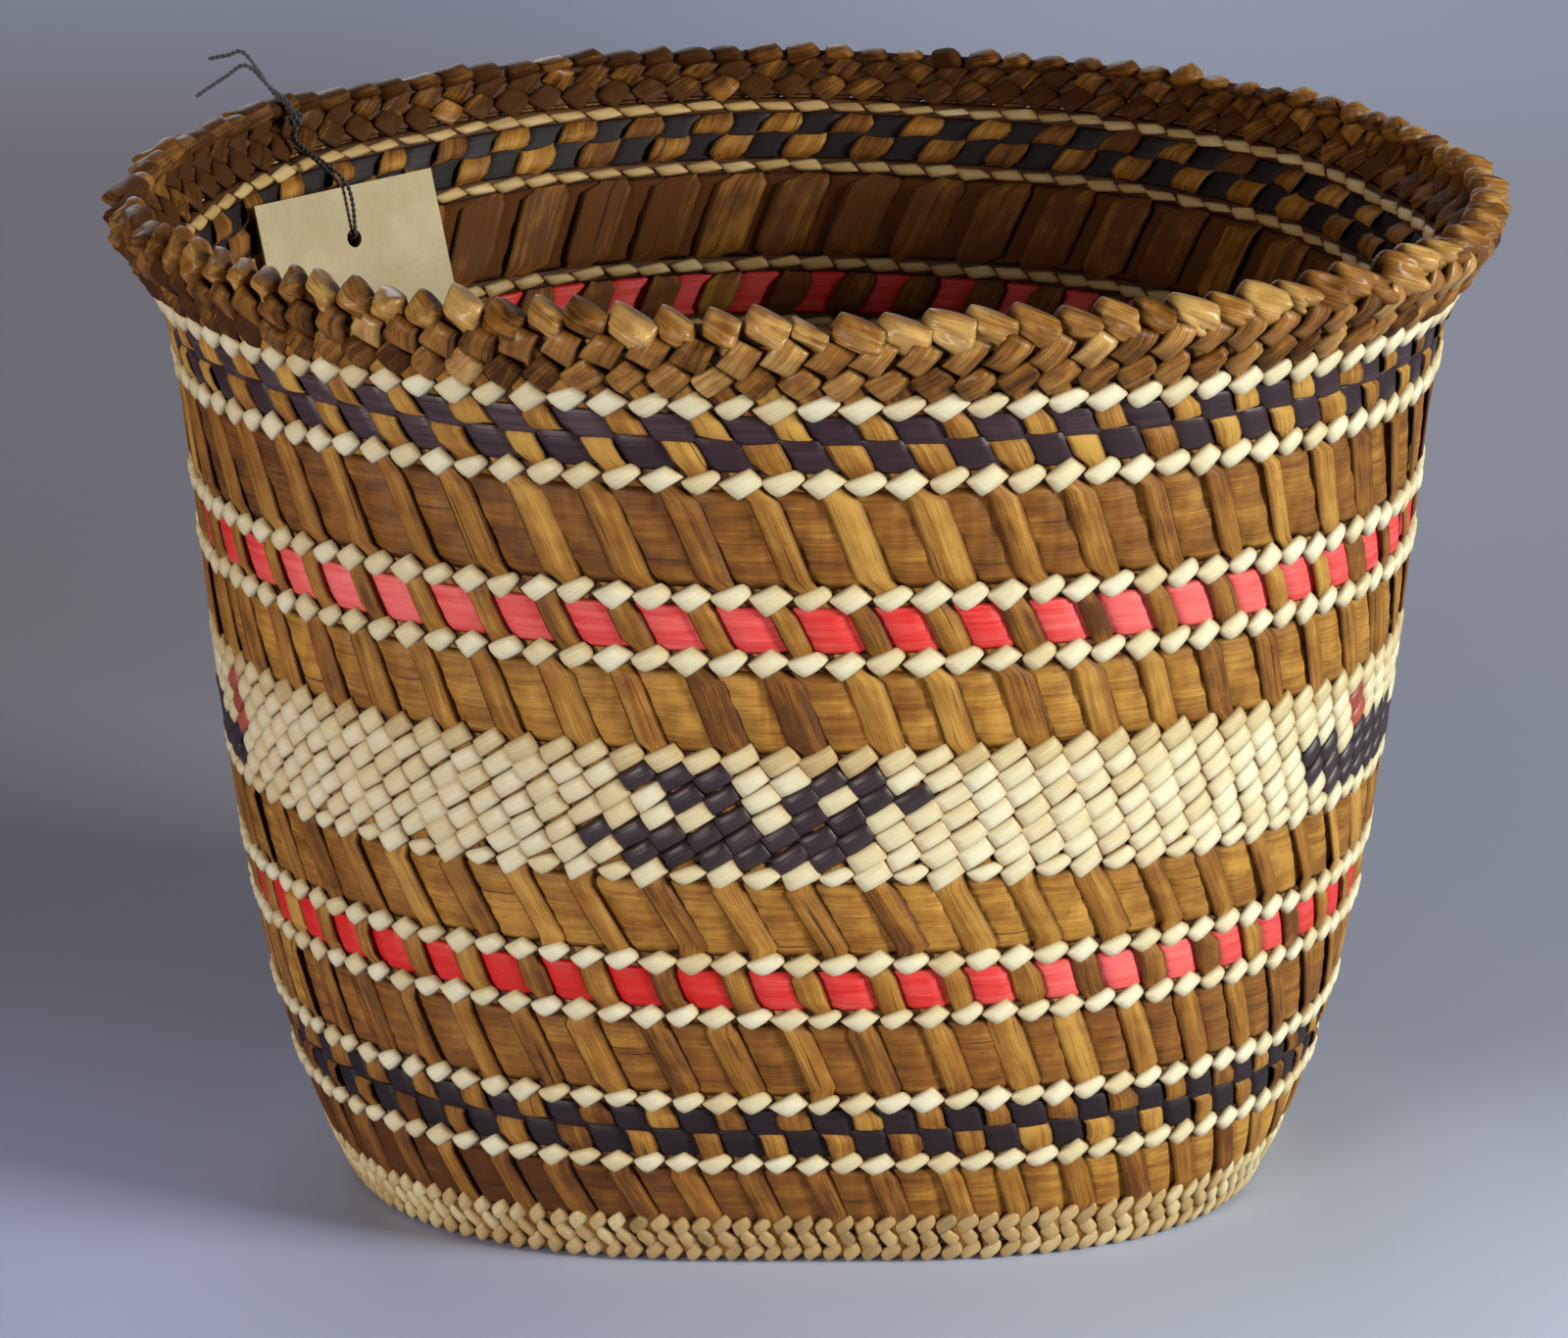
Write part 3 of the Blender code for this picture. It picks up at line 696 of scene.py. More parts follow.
def weave_strip(node, strip, kind, finish):
    """One closed band: its outward wave follows the uprights, in front of the hidden ones."""
    low, high = course(node)
    rise = np.array([0.0, 0.08, 0.35, 0.65, 0.92, 1.0, 0.92, 0.65, 0.35, 0.08])
    side = np.array([0.0, 0.5, 0.5, 0.5, 0.5, 0.0, -0.5, -0.5, -0.5, -0.5])
    bearing = round_the_wall(SAMPLES_PER_UPRIGHT)[:, None]
    height = (low - STRIP_TUCK + (high - low + 2.0 * STRIP_TUCK) * rise)[None, :]
    phase = math.pi * (upright_number(bearing, height) + strip.order)
    crown = STRIP_CROWN * (1.0 - (2.0 * rise - 1.0) ** 2)
    outward = STRIP_MIDDLE - STRIP_WAVE * squared_wave(phase) + STRIP_THICKNESS * side + crown
    facts = {
        "lay": lay_facts(bearing * MEAN_RADIUS, height, strip.order * 0.31),
        # inner face: painted shade on bark and purple strips, paler on red
        "tint": strip_tint(strip, kind.fade, bearing, rise[None, :]) + kind.inside_tone * (side < 0.0),
        # edge: where painted shade darkens the strip's top and bottom
        "edge": near_edge(rise, 8),
    }
    add_woven(f"{node}_woven", wall(bearing, height, outward)[None], facts, finish, ring=True,
              replaces=[node])


for node, strip in STRIPS.items():
    kind = node.split("_")[0]
    weave_strip(node, strip, KINDS[kind], {"wide": STRIP_BARK, "red": RED, "purple": PURPLE}[kind])

# %% [markdown]
# ## One stitch of twining
#
# In twining, a strand passes over an upright from lower left to upper right, then goes under the
# next one. What shows is a small slanted patch with four corners. Where the upright comes to the
# front below the row, the patch keeps its sharp lower corner. Where the upright was in front above
# the row, the patch sags into a round lens. So a stitch is a four-cornered patch, given by its
# corners in pitches along the wall and row heights up it, with a number for how far the square is
# rounded off.
#
# Two real strands twisted all the way round could be modelled as a pair of coils, but a coil can't
# take these shapes. Patches can, and their ends dip under each other as the strands do.

# %% The stitch as a patch with four corners
LEFT_TOP, RIGHT_TOP, RIGHT_LOW, LEFT_LOW = range(4)
RHOMB = np.array([(-0.60, -0.04), (0.12, 0.68), (0.60, 0.06), (-0.08, -0.76)])
LENS = np.array([(-0.62, 0.02), (0.30, 0.66), (0.61, 0.14), (-0.10, -0.74)])
SCALE = np.array([(-0.58, 0.02), (0.25, 0.98), (0.59, 0.02), (-0.25, -0.96)])
CORD = np.array([(-0.60, 0.18), (0.30, 0.34), (0.60, -0.14), (-0.30, -0.34)])


def patch_grid(stations, corners):
    """Stations crowd to both ends by a cosine. Corners go round a section, front first."""
    along = 0.5 - 0.5 * np.cos(np.linspace(0.0, math.pi, stations))
    angle = np.arange(corners) / corners * TAU
    upward = 0.5 - 0.5 * np.cos(angle)
    facing = np.sign(np.sin(angle).round(6)) * np.abs(np.sin(angle)) ** 0.6
    return along, upward, facing


def patch_points(bearing, height, tall, corners, rounding, base, front, back, grid, inside=False,
                 wrinkle=None):
    """Bilinear patch between four corners, its square rounded towards a disc, swelling on both faces.

    Rounding draws each side in by the square of the other coordinate. The swelling is the sine of the
    angle round the section, and falls to nothing at both ends with the fourth power.
    """
    along_share, upward_share, facing = grid
    along = (2.0 * along_share - 1.0)[None, :, None]
    upward = (2.0 * upward_share - 1.0)[None, None, :]
    rounding = np.reshape(rounding, (-1, 1, 1))
    u = 0.5 + 0.5 * along * np.sqrt(1.0 - rounding * upward ** 2 / 2.0)
    v = 0.5 + 0.5 * upward * np.sqrt(1.0 - rounding * along ** 2 / 2.0)
    table = corners[:, None, None, :, :]
    right, up = u[..., None], v[..., None]
    top = table[..., LEFT_TOP, :] * (1.0 - right) + table[..., RIGHT_TOP, :] * right
    low = table[..., LEFT_LOW, :] * (1.0 - right) + table[..., RIGHT_LOW, :] * right
    flat = low * (1.0 - up) + top * up
    ends = np.sqrt(np.clip(1.0 - 0.96 * along ** 4, 0.0, 1.0))
    swell = front[:, None, None] * (1.0 if wrinkle is None else wrinkle(u, v))
    relief = ends * np.where(facing > 0.0, swell * facing, back * facing)
    sign = -1.0 if inside else 1.0
    turn = bearing[:, None, None] + sign * flat[..., 0] * PITCH
    rise = height[:, None, None] + flat[..., 1] * tall
    return turn, rise, base + sign * relief, u, v


# %% A row of stitches, outside and inside
STITCH_GRID = patch_grid(7, 10)
ROW_BASE = 0.0010
ROW_DOME = 0.0015
INNER_BASE = -0.0006
INNER_DOME = 0.0009
ROW_BACK = 0.0005
ROW_OVERLAP = 0.0003
FLOOR_GAP = 0.0002
STITCH_WOBBLE = np.array([0.035, 0.05])
LEVEL_WOBBLE = 0.00012
SWELL_SHARES = (0.85, 1.15)
NO_DYE = np.zeros((1, 1, 1))


def twine_row(numbers, height, tall, corners, rounding, base=ROW_BASE, dome=ROW_DOME, inside=False,
              grid=STITCH_GRID, wrinkle=None):
    """The stitches of one row, one at each of these upright numbers, every one slightly its own."""
    count = len(numbers)
    corners = np.broadcast_to(corners, (count, 4, 2))
    wobble = CHANCE.normal(0.0, 1.0, corners.shape) * STITCH_WOBBLE
    bearing = upright_bearing(numbers, height) + (0.5 * PITCH if inside else 0.0)
    level = height + CHANCE.normal(0.0, LEVEL_WOBBLE, count)
    swell = dome * CHANCE.uniform(*SWELL_SHARES, count)
    turn, rise, out, u, v = patch_points(bearing, level, tall, corners + wobble, rounding, base, swell,
                                         ROW_BACK, grid, inside, wrinkle)
    length = float(pitch_width(height)) * 1.1
    facts = {
        "lay": lay_facts(u * length, v * tall, (numbers * 0.71 + height * 900.0)[:, None, None]),
        # edge and end: where painted shade darkens the stitch's border and its tucked ends
        "edge": np.maximum(near_edge(v, 8), near_edge(u, 10)),
        "end": near_edge(u, 4) * (0.45 + 0.55 * u),
    }
    return wall(turn, rise, out), facts


def row_place(node):
    """Middle height of a row, and its height with its share of the clearance."""
    low, high = course(node)
    return (low + high) / 2.0, high - low + ROW_OVERLAP


def join_rows(rows):
    """Several rows of stitches as one array of pieces, with their facts."""
    points = np.concatenate([row[0] for row in rows])
    facts = {key: np.concatenate([np.broadcast_to(row[1][key], row[0].shape if key == "lay"
                                                  else row[0].shape[:3]) for row in rows])
             for key in rows[0][1]}
    return points, facts


def add_row(node, rows, tints, finish=GRASS, slot="bear_grass", suffix="stitches", **more):
    """The outer and the inner stitches, each row with its tint, in place of the node, off the floor."""
    for row, tint in zip(rows, tints):
        row[1].update(more, tint=tint)
    points, facts = join_rows(rows)
    points[..., 2] = np.maximum(points[..., 2], FLOOR_GAP)
    add_woven(f"{node}_{suffix}", points, facts, finish, replaces=[node])


# %% The single rows of grass between the strips


def shape_of(order):
    """Corner tables and rounding: a rhomb where the upright is in front below the row, else a lens."""
    sharp = ((EVERY + order) % 2 == 0)[:, None, None]
    return np.where(sharp, RHOMB, LENS), np.where(sharp, 0.20, 0.65)


def grass_tints(numbers, height, tones, spread=0.11):
    """For each tone: painted light, paler on the right of the front and tanner elsewhere.

    Each stitch also gets a random tone of its own.
    """
    painted_light_towards_right = 0.08 * toward(upright_bearing(numbers, height), 312.0)
    return [(tone + painted_light_towards_right + spread * CHANCE.standard_normal(len(numbers)))[:, None, None] for tone in tones]


for node, order in GRASS_ROWS.items():
    middle, tall = row_place(node)
    outer = twine_row(EVERY, middle, tall, *shape_of(order))
    inner = twine_row(EVERY, middle, tall, CORD, 0.4, INNER_BASE, INNER_DOME, True)
    # The inner stitches take the low tone 0.12, painted shade inside the basket.
    add_row(node, [outer, inner], grass_tints(EVERY, middle, (0.66, 0.12)), dye=NO_DYE)

# %% [markdown]
# ## The figured band
#
# Seven rows of the same stitch lie close together and nest like scales. Dark stitches make small
# woven figures, a bird on the water and a canoe. A weaver counts them as on squared paper, so here
# they are written as charts, one letter for each stitch: a dot is plain, # is dark and o is rust.
# The chart is laid on the uprights' numbers, and leans with them.

# %% Charts of the two figures
BIRD = [
    "..........",
    "..###..##.",
    "...##.#.##",
    "....#.##..",
    "########..",
    ".######...",
    "..........",
]
CANOE = [
    "..........",
    "...o.....o",
    "...o.....o",
    "##.####..o",
    "#########.",
    ".########.",
    "..........",
]
CHART_START = -3
FIGURES = {0: BIRD, 22: CANOE, 42: BIRD, 62: BIRD, 81: CANOE}
DYE = {".": 0.0, "#": 1.0, "o": 2.0}


def dye_of_row(row):
    """Dye of each upright's stitch in one row of the band."""
    dye = np.zeros(UPRIGHTS)
    for start, chart in FIGURES.items():
        places = (start + CHART_START + np.arange(len(chart[row]))) % UPRIGHTS
        dye[places] = [DYE[letter] for letter in chart[row]]
    return dye[:, None, None]


# %% The seven rows of the band
for row, node in enumerate(FIGURED_ROWS):
    middle, tall = row_place(node)
    corners, rounding = SCALE, 0.25
    if node == FIGURED_ROWS[-1]:
        lowest, rounding = shape_of(BAND_ORDER)
        corners = np.where(((EVERY + BAND_ORDER) % 2 == 0)[:, None, None], SCALE, lowest)
    outer = twine_row(EVERY, middle, tall, corners, rounding, dome=ROW_DOME * 0.85)
    inner = twine_row(EVERY, middle, tall, corners * np.array([1.0, 0.8]), rounding, INNER_BASE, INNER_DOME,
                      True)
    tone = 0.34 if row == 0 else 0.64
    add_row(node, [outer, inner], grass_tints(EVERY, middle, (tone, tone), 0.08), dye=dye_of_row(row))

# %% [markdown]
# ## The foot
#
# Three tight rows close the foot, with three short stitches for every two uprights. The middle row
# slants the other way, which makes the foot look braided. Mirroring the corners of the stitch along
# the wall turns its slant. The foot's stitches are darker in front.

# %% Three tight rows at the foot
FOOT_STITCHES = 156
FOOT_PLACES = np.arange(FOOT_STITCHES) * UPRIGHTS / FOOT_STITCHES
SHORT = SCALE * np.array([UPRIGHTS / FOOT_STITCHES, 1.0])
SHORT_MIRRORED = (SHORT * np.array([-1.0, 1.0]))[[RIGHT_TOP, LEFT_TOP, LEFT_LOW, RIGHT_LOW]]
FOOT_FRONT_DARKENING = 0.44

for row, node in enumerate(FOOT_ROWS):
    middle, tall = row_place(node)
    corners = SHORT_MIRRORED if row == 1 else SHORT
    outer = twine_row(FOOT_PLACES, middle, tall, corners, 0.6, ROW_BASE * 0.8, ROW_DOME * 0.8)
    inner = twine_row(FOOT_PLACES, middle + 0.001, tall * 0.8, corners, 0.6, INNER_BASE, INNER_DOME, True)
    darker_in_front = FOOT_FRONT_DARKENING * np.maximum(toward(upright_bearing(FOOT_PLACES, middle), 275.0), 0.0) ** 4
    tints = [tint - darker_in_front[:, None, None] for tint in grass_tints(FOOT_PLACES, middle, (0.32, 0.32))]
    add_row(node, [outer, inner], tints, dye=NO_DYE)

# %% [markdown]
# ## The rim
#
# From below: one row of brown bark twining, a row of flat strips that slant up to the right, and the
# folds that puff over the edge and slant down to the right. The first two are the same patch as a
# stitch, with their own corners. The folds are fuller, so each is a bent leaf with a round section.

# %% The twined row and the flat crossed strips under the edge
FLAT = np.array([(-0.52, -0.10), (-0.02, 0.72), (0.60, 0.34), (0.14, -0.58)])
FINE_GRID = patch_grid(11, 20)


def bark_tint(tone):
    """A tint for each patch: painted light makes it paler in front, and painted shade darker at the left
    back.
    """
    bearing = upright_bearing(EVERY, LIP_HEIGHT)
    painted_light_and_shade = 0.17 * np.maximum(toward(bearing, 280.0), 0.1) - 0.12
    painted_light_and_shade = painted_light_and_shade - 0.12 * np.maximum(toward(bearing, 155.0), 0.0)
    return (tone + painted_light_and_shade + 0.12 * CHANCE.standard_normal(UPRIGHTS))[:, None, None]


def crumpled(depth, roof=0.0):
    """Puffs with sharp creases along the strand: sines without their signs, deeper to the right.

    The roof is one more crease, straight across each patch, like the ridge between two flat sides.
    """
    one_each = (UPRIGHTS, 1, 1)
    phase = CHANCE.uniform(0.0, TAU, (3, *one_each))
    start = CHANCE.normal(0.30, 0.09, one_each)
    slope = CHANCE.normal(0.42, 0.22, one_each)

    def ridges(u, v):
        total = np.abs(np.sin(5.5 * v + 2.5 * u + phase[0]))
        total = total + 0.7 * np.abs(np.sin(10.0 * v - 3.5 * u + phase[1]))
        total = total + 0.6 * np.sin(6.0 * u - 4.0 * v + phase[2]) - 1.1
        total = total + roof * (0.45 - 1.6 * np.abs(v - start - slope * u))
        return 1.0 + depth * (0.5 + u) * total

    return ridges


def rim_row(node, corners, rounding, lift, scale, base, dome, tone, depth):
    """A row of bark patches outside, and a plainer row inside."""
    middle, tall = row_place(node)
    rows = [twine_row(EVERY, middle + lift, tall * scale, corners, rounding, low, high, inside, FINE_GRID,
                      crumpled(depth))
            for low, high, inside in ((base, dome, False), (INNER_BASE, INNER_DOME * 1.3, True))]
    # the inner row darker: partly its own tone, partly painted shade
    tints = [bark_tint(tone + shade) for shade in (0.0, INSIDE_TONE_AND_SHADE * 0.25)]
    add_row(node, rows, tints, RIM_BARK, "cedar_braid", "strips")


rim_row("rim_twine", RHOMB, rounding=0.45, lift=0.0013, scale=1.75, base=0.0012, dome=0.0022, tone=0.42,
        depth=0.30)
rim_row("rim_braid", FLAT, rounding=0.10, lift=0.0016, scale=1.25, base=0.0022, dome=0.0013, tone=0.50,
        depth=0.10)

# %% [markdown]
# The folds: each upright comes up inside on the left, turns over the edge and is tucked in outside on
# the right. It is the same kind of patch again, only swollen on both sides, so that it closes over
# the edge of the wall. Ridges run along it, because the bark was gathered as it was turned over.

# %% The folds on the edge
FOLD = np.array([(-0.30, 0.64), (0.64, 0.24), (0.46, -0.56), (-0.64, -0.10)])
FOLD_GRID = patch_grid(15, 28)
FOLD_WOBBLE = np.array([0.07, 0.08])
FOLD_BASE = 0.0004
FOLD_BACK = 0.0034
FOLD_DROP = 0.0002
FOLD_SLOPE = 0.0030
FOLD_LENGTH = 0.011
FOLD_WIDTH = 0.009
FOLD_SIZES = (0.78, 1.08)
FOLD_SWELLS = (0.0021, 0.0030)
FOLD_LEVEL_WOBBLE = 0.0004


def folded_edge():
    """One full patch per upright, turned so that its strand runs down to the right and outward."""
    middle, tall = row_place("rim_fold")
    bearing = upright_bearing(EVERY, middle)
    size = (1.0 + 0.05 * toward(bearing, 280.0)) * CHANCE.uniform(*FOLD_SIZES, UPRIGHTS)
    corners = FOLD[None] * size[:, None, None]
    corners = corners + CHANCE.normal(0.0, 1.0, corners.shape) * FOLD_WOBBLE
    level = middle - FOLD_DROP + CHANCE.normal(0.0, FOLD_LEVEL_WOBBLE, UPRIGHTS)
    swell = CHANCE.uniform(*FOLD_SWELLS, UPRIGHTS)
    rounding = 0.46 + 0.26 * toward(bearing, 40.0)
    turn, rise, out, u, v = patch_points(bearing, level, tall * 1.04, corners, rounding, FOLD_BASE, swell,
                                         FOLD_BACK, FOLD_GRID, wrinkle=crumpled(0.36, 2.2))
    facts = {
        "lay": lay_facts(u * FOLD_LENGTH, v * FOLD_WIDTH, EVERY[:, None, None] * 0.53),
        # the back of each fold darker: partly its own tone, partly painted shade
        "tint": bark_tint(0.62) + 0.6 * INSIDE_TONE_AND_SHADE * (FOLD_GRID[2] < 0.0),
        # edge: where painted shade darkens the border of each fold
        "edge": np.maximum(near_edge(u, 8), near_edge(v, 8)),
    }
    points = wall(turn, rise, out + (u - 0.5) * FOLD_SLOPE)
    add_woven("rim_folds", points, facts, RIM_BARK, replaces=["rim_fold"])


folded_edge()

# %% [markdown]
# ## The cores of the rows
#
# In a twined row the two strands also cross between the uprights, inside the thickness of the wall,
# and that closes the row. Those crossings can't be seen, but without them light would fall through.
# One low band in each row stands for them, and its dark finish is painted shade deep in the wall.

# %% One hidden band in each row
CORE_NODES = list(GRASS_ROWS) + FIGURED_ROWS + FOOT_ROWS + ["rim_twine", "rim_braid", "rim_fold"]
FOLD_CORE_SHIFT = (-0.0008, -0.0022)


def row_cores():
    """A ring in each row: six corners round a low flat section, the same all the way round."""
    rise = np.array([0.02, 0.22, 0.78, 0.98, 0.78, 0.22])
    outward = np.array([0.0001, 0.0006, 0.0006, 0.0001, -0.0004, -0.0004])
    places = np.array([course(node) for node in CORE_NODES])
    places[-1] += FOLD_CORE_SHIFT
    low, high = places[:, 0, None, None], places[:, 1, None, None]
    bearing = round_the_wall(2)[None, :, None]
    height = low + (high - low) * rise
    facts = {
        "lay": lay_facts(bearing * MEAN_RADIUS, height, 0.0),
        "tint": 0.4,
        "edge": 0.0,
    }
    add_woven("row_cores", wall(bearing, height, outward), facts, CORE_SHADE_BARK, ring=True)


row_cores()

# %% [markdown]
# ## The base
#
# The base is plain plaiting, 26 strips each way. Their ends are the uprights, so the square of
# plaiting has to fill the round foot. A square becomes a disc by shrinking each coordinate with the
# square of the other, which also bends the outer strips a little, as on the real thing. Near its edge
# the disc is then eased onto the foot's own outline, so that no light comes in between the two.

# %% The plaited base
BASE_STRIPS = 26
BASE_LEVEL = 0.00125
BASE_WAVE = 0.00038
BASE_THICKNESS = 0.0005
BASE_HALF = float(half_width(BASE_LEVEL)) + 0.0003
BASE_SQUARENESS = 2.63
DISC_SHRINK = 2.45
BASE_COVER = 0.95


def round_base(x, y):
    """A point of the square, from -1 to 1 each way, as a point of the foot's plan."""
    disc_x = x * np.sqrt(1.0 - y * y / DISC_SHRINK)
    disc_y = y * np.sqrt(1.0 - x * x / DISC_SHRINK)
    square = np.maximum(np.abs(x), np.abs(y))
    foot = np.abs(disc_x) ** BASE_SQUARENESS + np.abs(disc_y) ** BASE_SQUARENESS
    foot = foot ** (1.0 / BASE_SQUARENESS) + 1e-6
    fit = 1.0 + (square / foot - 1.0) * square ** 4
    bow = SIDE_BOW * (foot * fit * disc_x) ** 2 / (disc_x ** 2 + disc_y ** 2 + 1e-9)
    return disc_x * fit * BASE_HALF, (disc_y * fit * DEPTH_RATIO - bow) * BASE_HALF


def plaited_base():
    """Strips each way: the outward wave of a strip follows the strips that it crosses."""
    place, side = flat_section(0.34)
    number = np.arange(BASE_STRIPS)[:, None, None]
    along = np.linspace(-1.0, 1.0, BASE_STRIPS * 4 + 1)[None, :, None]
    across = (number + 0.5) / BASE_STRIPS * 2.0 - 1.0 + place * 2.0 * BASE_COVER / BASE_STRIPS
    wave = np.cos(math.pi * ((along + 1.0) / 2.0 * BASE_STRIPS - 0.5 + number))
    layers = []
    for way, set_apart in ((1.0, 0.0), (-1.0, 7.0)):
        x, y = round_base(along, across) if way > 0.0 else round_base(across, along)
        rise = BASE_LEVEL + way * BASE_WAVE * wave + BASE_THICKNESS * side
        facts = {
            "lay": lay_facts(along * BASE_HALF, across * BASE_HALF, number * 0.43 + set_apart),
            "tint": (0.45 + 0.12 * CHANCE.standard_normal(BASE_STRIPS))[:, None, None],
            # edge: where painted shade darkens the plait's sides
            "edge": near_edge(place + 0.5, 6),
        }
        layers.append((np.stack([x, y, rise], -1), facts))
    points, facts = join_rows(layers)
    add_woven("plaited_base", points, facts, BASE_BARK, replaces=["base_mat"])


plaited_base()

# %% [markdown]
# ## The tag, its thread and its knot
#
# The card keeps the model's own shape, a thin plate with a punched hole, and gets a paper finish. The
# thread is a loop of two twisted plies from the knot, through the hole and back. Its ends stick up
# stiffly above the rim.

# %% Paper for the tag


def paper_finish():
    """Paper: soft stains between two tones, and fine darker fibres."""
    finish = Finish("tag_paper")
    place = finish.node("ShaderNodeTexCoord", output=3)
    fibres = finish.grain(place, (900.0, 900.0, 900.0), 4.0, 0.6)
    stains = finish.grain(place, (60.0, 60.0, 60.0), 3.0, 0.55)
    colour = finish.mix(stains.step(0.35, 0.70), (180, 166, 130), (196, 183, 149))
    colour = finish.mix((fibres.step(0.45, 0.75) * 0.25).clamp(), colour, (160, 142, 104))
    return finish.surface(colour, (0.72 + 0.15 * fibres).clamp(), fibres, 0.00006)


card = frame["nodes"]["tag_card"]
card.data.materials.clear()
card.data.materials.append(paper_finish())

# %% Thread as two plies round a smooth line
THREAD_RADIUS = 0.00048
TURNS_PER_METRE = 420.0
PLY_SHARE = 0.56
ASKEW = np.array([0.31, 0.52, 0.79])


def thread_finish():
    """Thread: dark grey, with a paler fuzz along the plies."""
    finish = Finish("tag_thread")
    fuzz = finish.grain(finish.lay(), (1500.0, 4000.0, 5.0), 3.0, 0.6)
    colour = finish.mix(fuzz, (38, 38, 42), (88, 88, 90))
    return finish.surface(colour, (0.75 + 0.1 * fuzz).clamp(), fuzz, 0.00008)


THREAD = thread_finish()


def smooth_line(knots, count, closed):
    """Catmull-Rom through the knots: each span is a cubic of four neighbouring knots."""
    knots = np.asarray(knots, float)
    spans = len(knots) if closed else len(knots) - 1
    place = np.linspace(0.0, spans, count, endpoint=not closed)
    span = np.minimum(place.astype(int), spans - 1)
    t = (place - span)[:, None]
    near = [span + shift for shift in (-1, 0, 1, 2)]
    p0, p1, p2, p3 = (knots[at % spans if closed else np.clip(at, 0, spans)] for at in near)
    cubic = 2.0 * p1 + (p2 - p0) * t + (2.0 * p0 - 5.0 * p1 + 4.0 * p2 - p3) * t ** 2
    return 0.5 * (cubic + (3.0 * p1 - p0 - 3.0 * p2 + p3) * t ** 3)


def twisted_plies(lines, radius, closed, corners=6):
    """Two plies wound round each line, on frames that don't turn, from a direction askew to it."""
    tubes = []
    angle = np.arange(corners) / corners * TAU
    for line in lines:
        ahead = np.roll(line, -1, 0) - np.roll(line, 1, 0) if closed else np.gradient(line, axis=0)
        side = np.cross(ahead, ASKEW)
        side /= np.linalg.norm(side, axis=1, keepdims=True)
        other = np.cross(ahead / np.linalg.norm(ahead, axis=1, keepdims=True), side)
        steps = np.linalg.norm(np.diff(line, axis=0), axis=1)
        run = np.concatenate([[0.0], np.cumsum(steps)])
        whole = run[-1] + (np.linalg.norm(line[0] - line[-1]) if closed else 0.0)
        ring = np.cos(angle)[:, None] * side[:, None] + np.sin(angle)[:, None] * other[:, None]
        for ply in (0.0, math.pi):
            wind = (run / whole * round(whole * TURNS_PER_METRE) * TAU + ply)[:, None]
            centre = line + radius * 0.5 * (np.cos(wind) * side + np.sin(wind) * other)
            tubes.append(centre[:, None, :] + radius * PLY_SHARE * ring)
    return np.stack(tubes)


def add_thread(name, lines, radius, closed, body, replaces):
    """Plies round these lines as one piece, with the finish laid along them."""
    points = twisted_plies(lines, radius, closed)
    stations, corners = points.shape[1:3]
    lay = lay_facts(np.linspace(0.0, 0.08, stations)[None, :, None], np.arange(corners) * 0.0003,
                    np.arange(len(points))[:, None, None] * 3.1)
    add_woven(name, points, {"lay": lay}, THREAD, body, closed, replaces)


joint = frame["record"]["behaviour"]["joints"][0]
KNOT = np.array(joint["pos_m"])
WALL_LINE = np.array(joint["axis"])
OUTWARD = np.cross(WALL_LINE, (0.0, 0.0, 1.0))
print("knot at", KNOT.round(4), "outward", OUTWARD.round(3))

# %% [markdown]
# The card's own mesh says where its hole is: the hole's rim is the set of corners nearest to the
# card's upper middle. The thread's loop then runs from the knot to the hole and back up behind.

# %% The loop through the hole
CARD = np.array([card.matrix_world @ vertex.co for vertex in card.data.vertices])
HOLE = CARD[np.abs((CARD - CARD.mean(0)) @ WALL_LINE) < 0.003].mean(0)
TOP_EDGE = CARD[CARD[:, 2] > CARD[:, 2].max() - 0.0004].mean(0)
UPWARD = np.array([0.0, 0.0, 1.0])
UP = (TOP_EDGE - HOLE) / np.linalg.norm(TOP_EDGE - HOLE)
NORMAL = np.cross(UP, WALL_LINE)
NORMAL *= np.sign(NORMAL @ OUTWARD)
CARD_HALF_THICKNESS = 0.0003
THREAD_GAP = 0.00035
UNDER_KNOT = 0.0021
off = NORMAL * (CARD_HALF_THICKNESS + THREAD_GAP + THREAD_RADIUS)
top = KNOT - UPWARD * UNDER_KNOT
shoulder = top - UPWARD * 0.003
edge = TOP_EDGE + UP * 0.001
bend = HOLE + UP * 0.0018
loop = [top, shoulder - OUTWARD * 0.0007, edge - off, bend - off, bend - UP * 0.0014, bend + off, edge + off,
        shoulder + OUTWARD * 0.0006]
add_thread("tag_thread_loop", [smooth_line(loop, 160, True)], THREAD_RADIUS, True, "tag", ["tag_string"])
print("hole at", HOLE.round(4), "top edge at", TOP_EDGE.round(4))

# %% The knot with its two ends
KNOT_COIL = 0.0011
FIRST_END = [(0.0, 0.0), (2.0, 3.2), (4.8, 5.8), (10.4, 13.9), (14.0, 13.6), (18.1, 12.8)]
SECOND_END = [(0.0, 0.0), (1.6, 3.6), (5.2, 6.6), (10.2, 11.4), (14.6, 9.0), (20.9, 4.8)]


def end_line(steps):
    """Smooth line from the knot through points given as millimetres to the left and up."""
    steps = np.array(steps) / 1000.0
    return smooth_line(KNOT + np.stack([-steps[:, 0], 0.0 * steps[:, 0], steps[:, 1]], -1), 60, False)


def knot_coil(tilt):
    """A flattened circle round the knot, tilted about the vertical."""
    swing = np.linspace(0.0, TAU, 12, endpoint=False)[:, None]
    one = np.array([math.cos(tilt), math.sin(tilt), 0.25])
    two = np.array([-math.sin(tilt) * 0.4, math.cos(tilt) * 0.4, 1.0])
    return smooth_line(KNOT + KNOT_COIL * (np.cos(swing) * one + np.sin(swing) * two), 40, True)


coils = [knot_coil(tilt) for tilt in (0.0, 1.1, 2.2)]
ends = [end_line(steps) for steps in (FIRST_END, SECOND_END)]
add_thread("tag_knot", coils, THREAD_RADIUS * 1.2, True, "basket", ["string_knot"])
add_thread("tag_thread_ends", ends, THREAD_RADIUS, False, "basket", [])

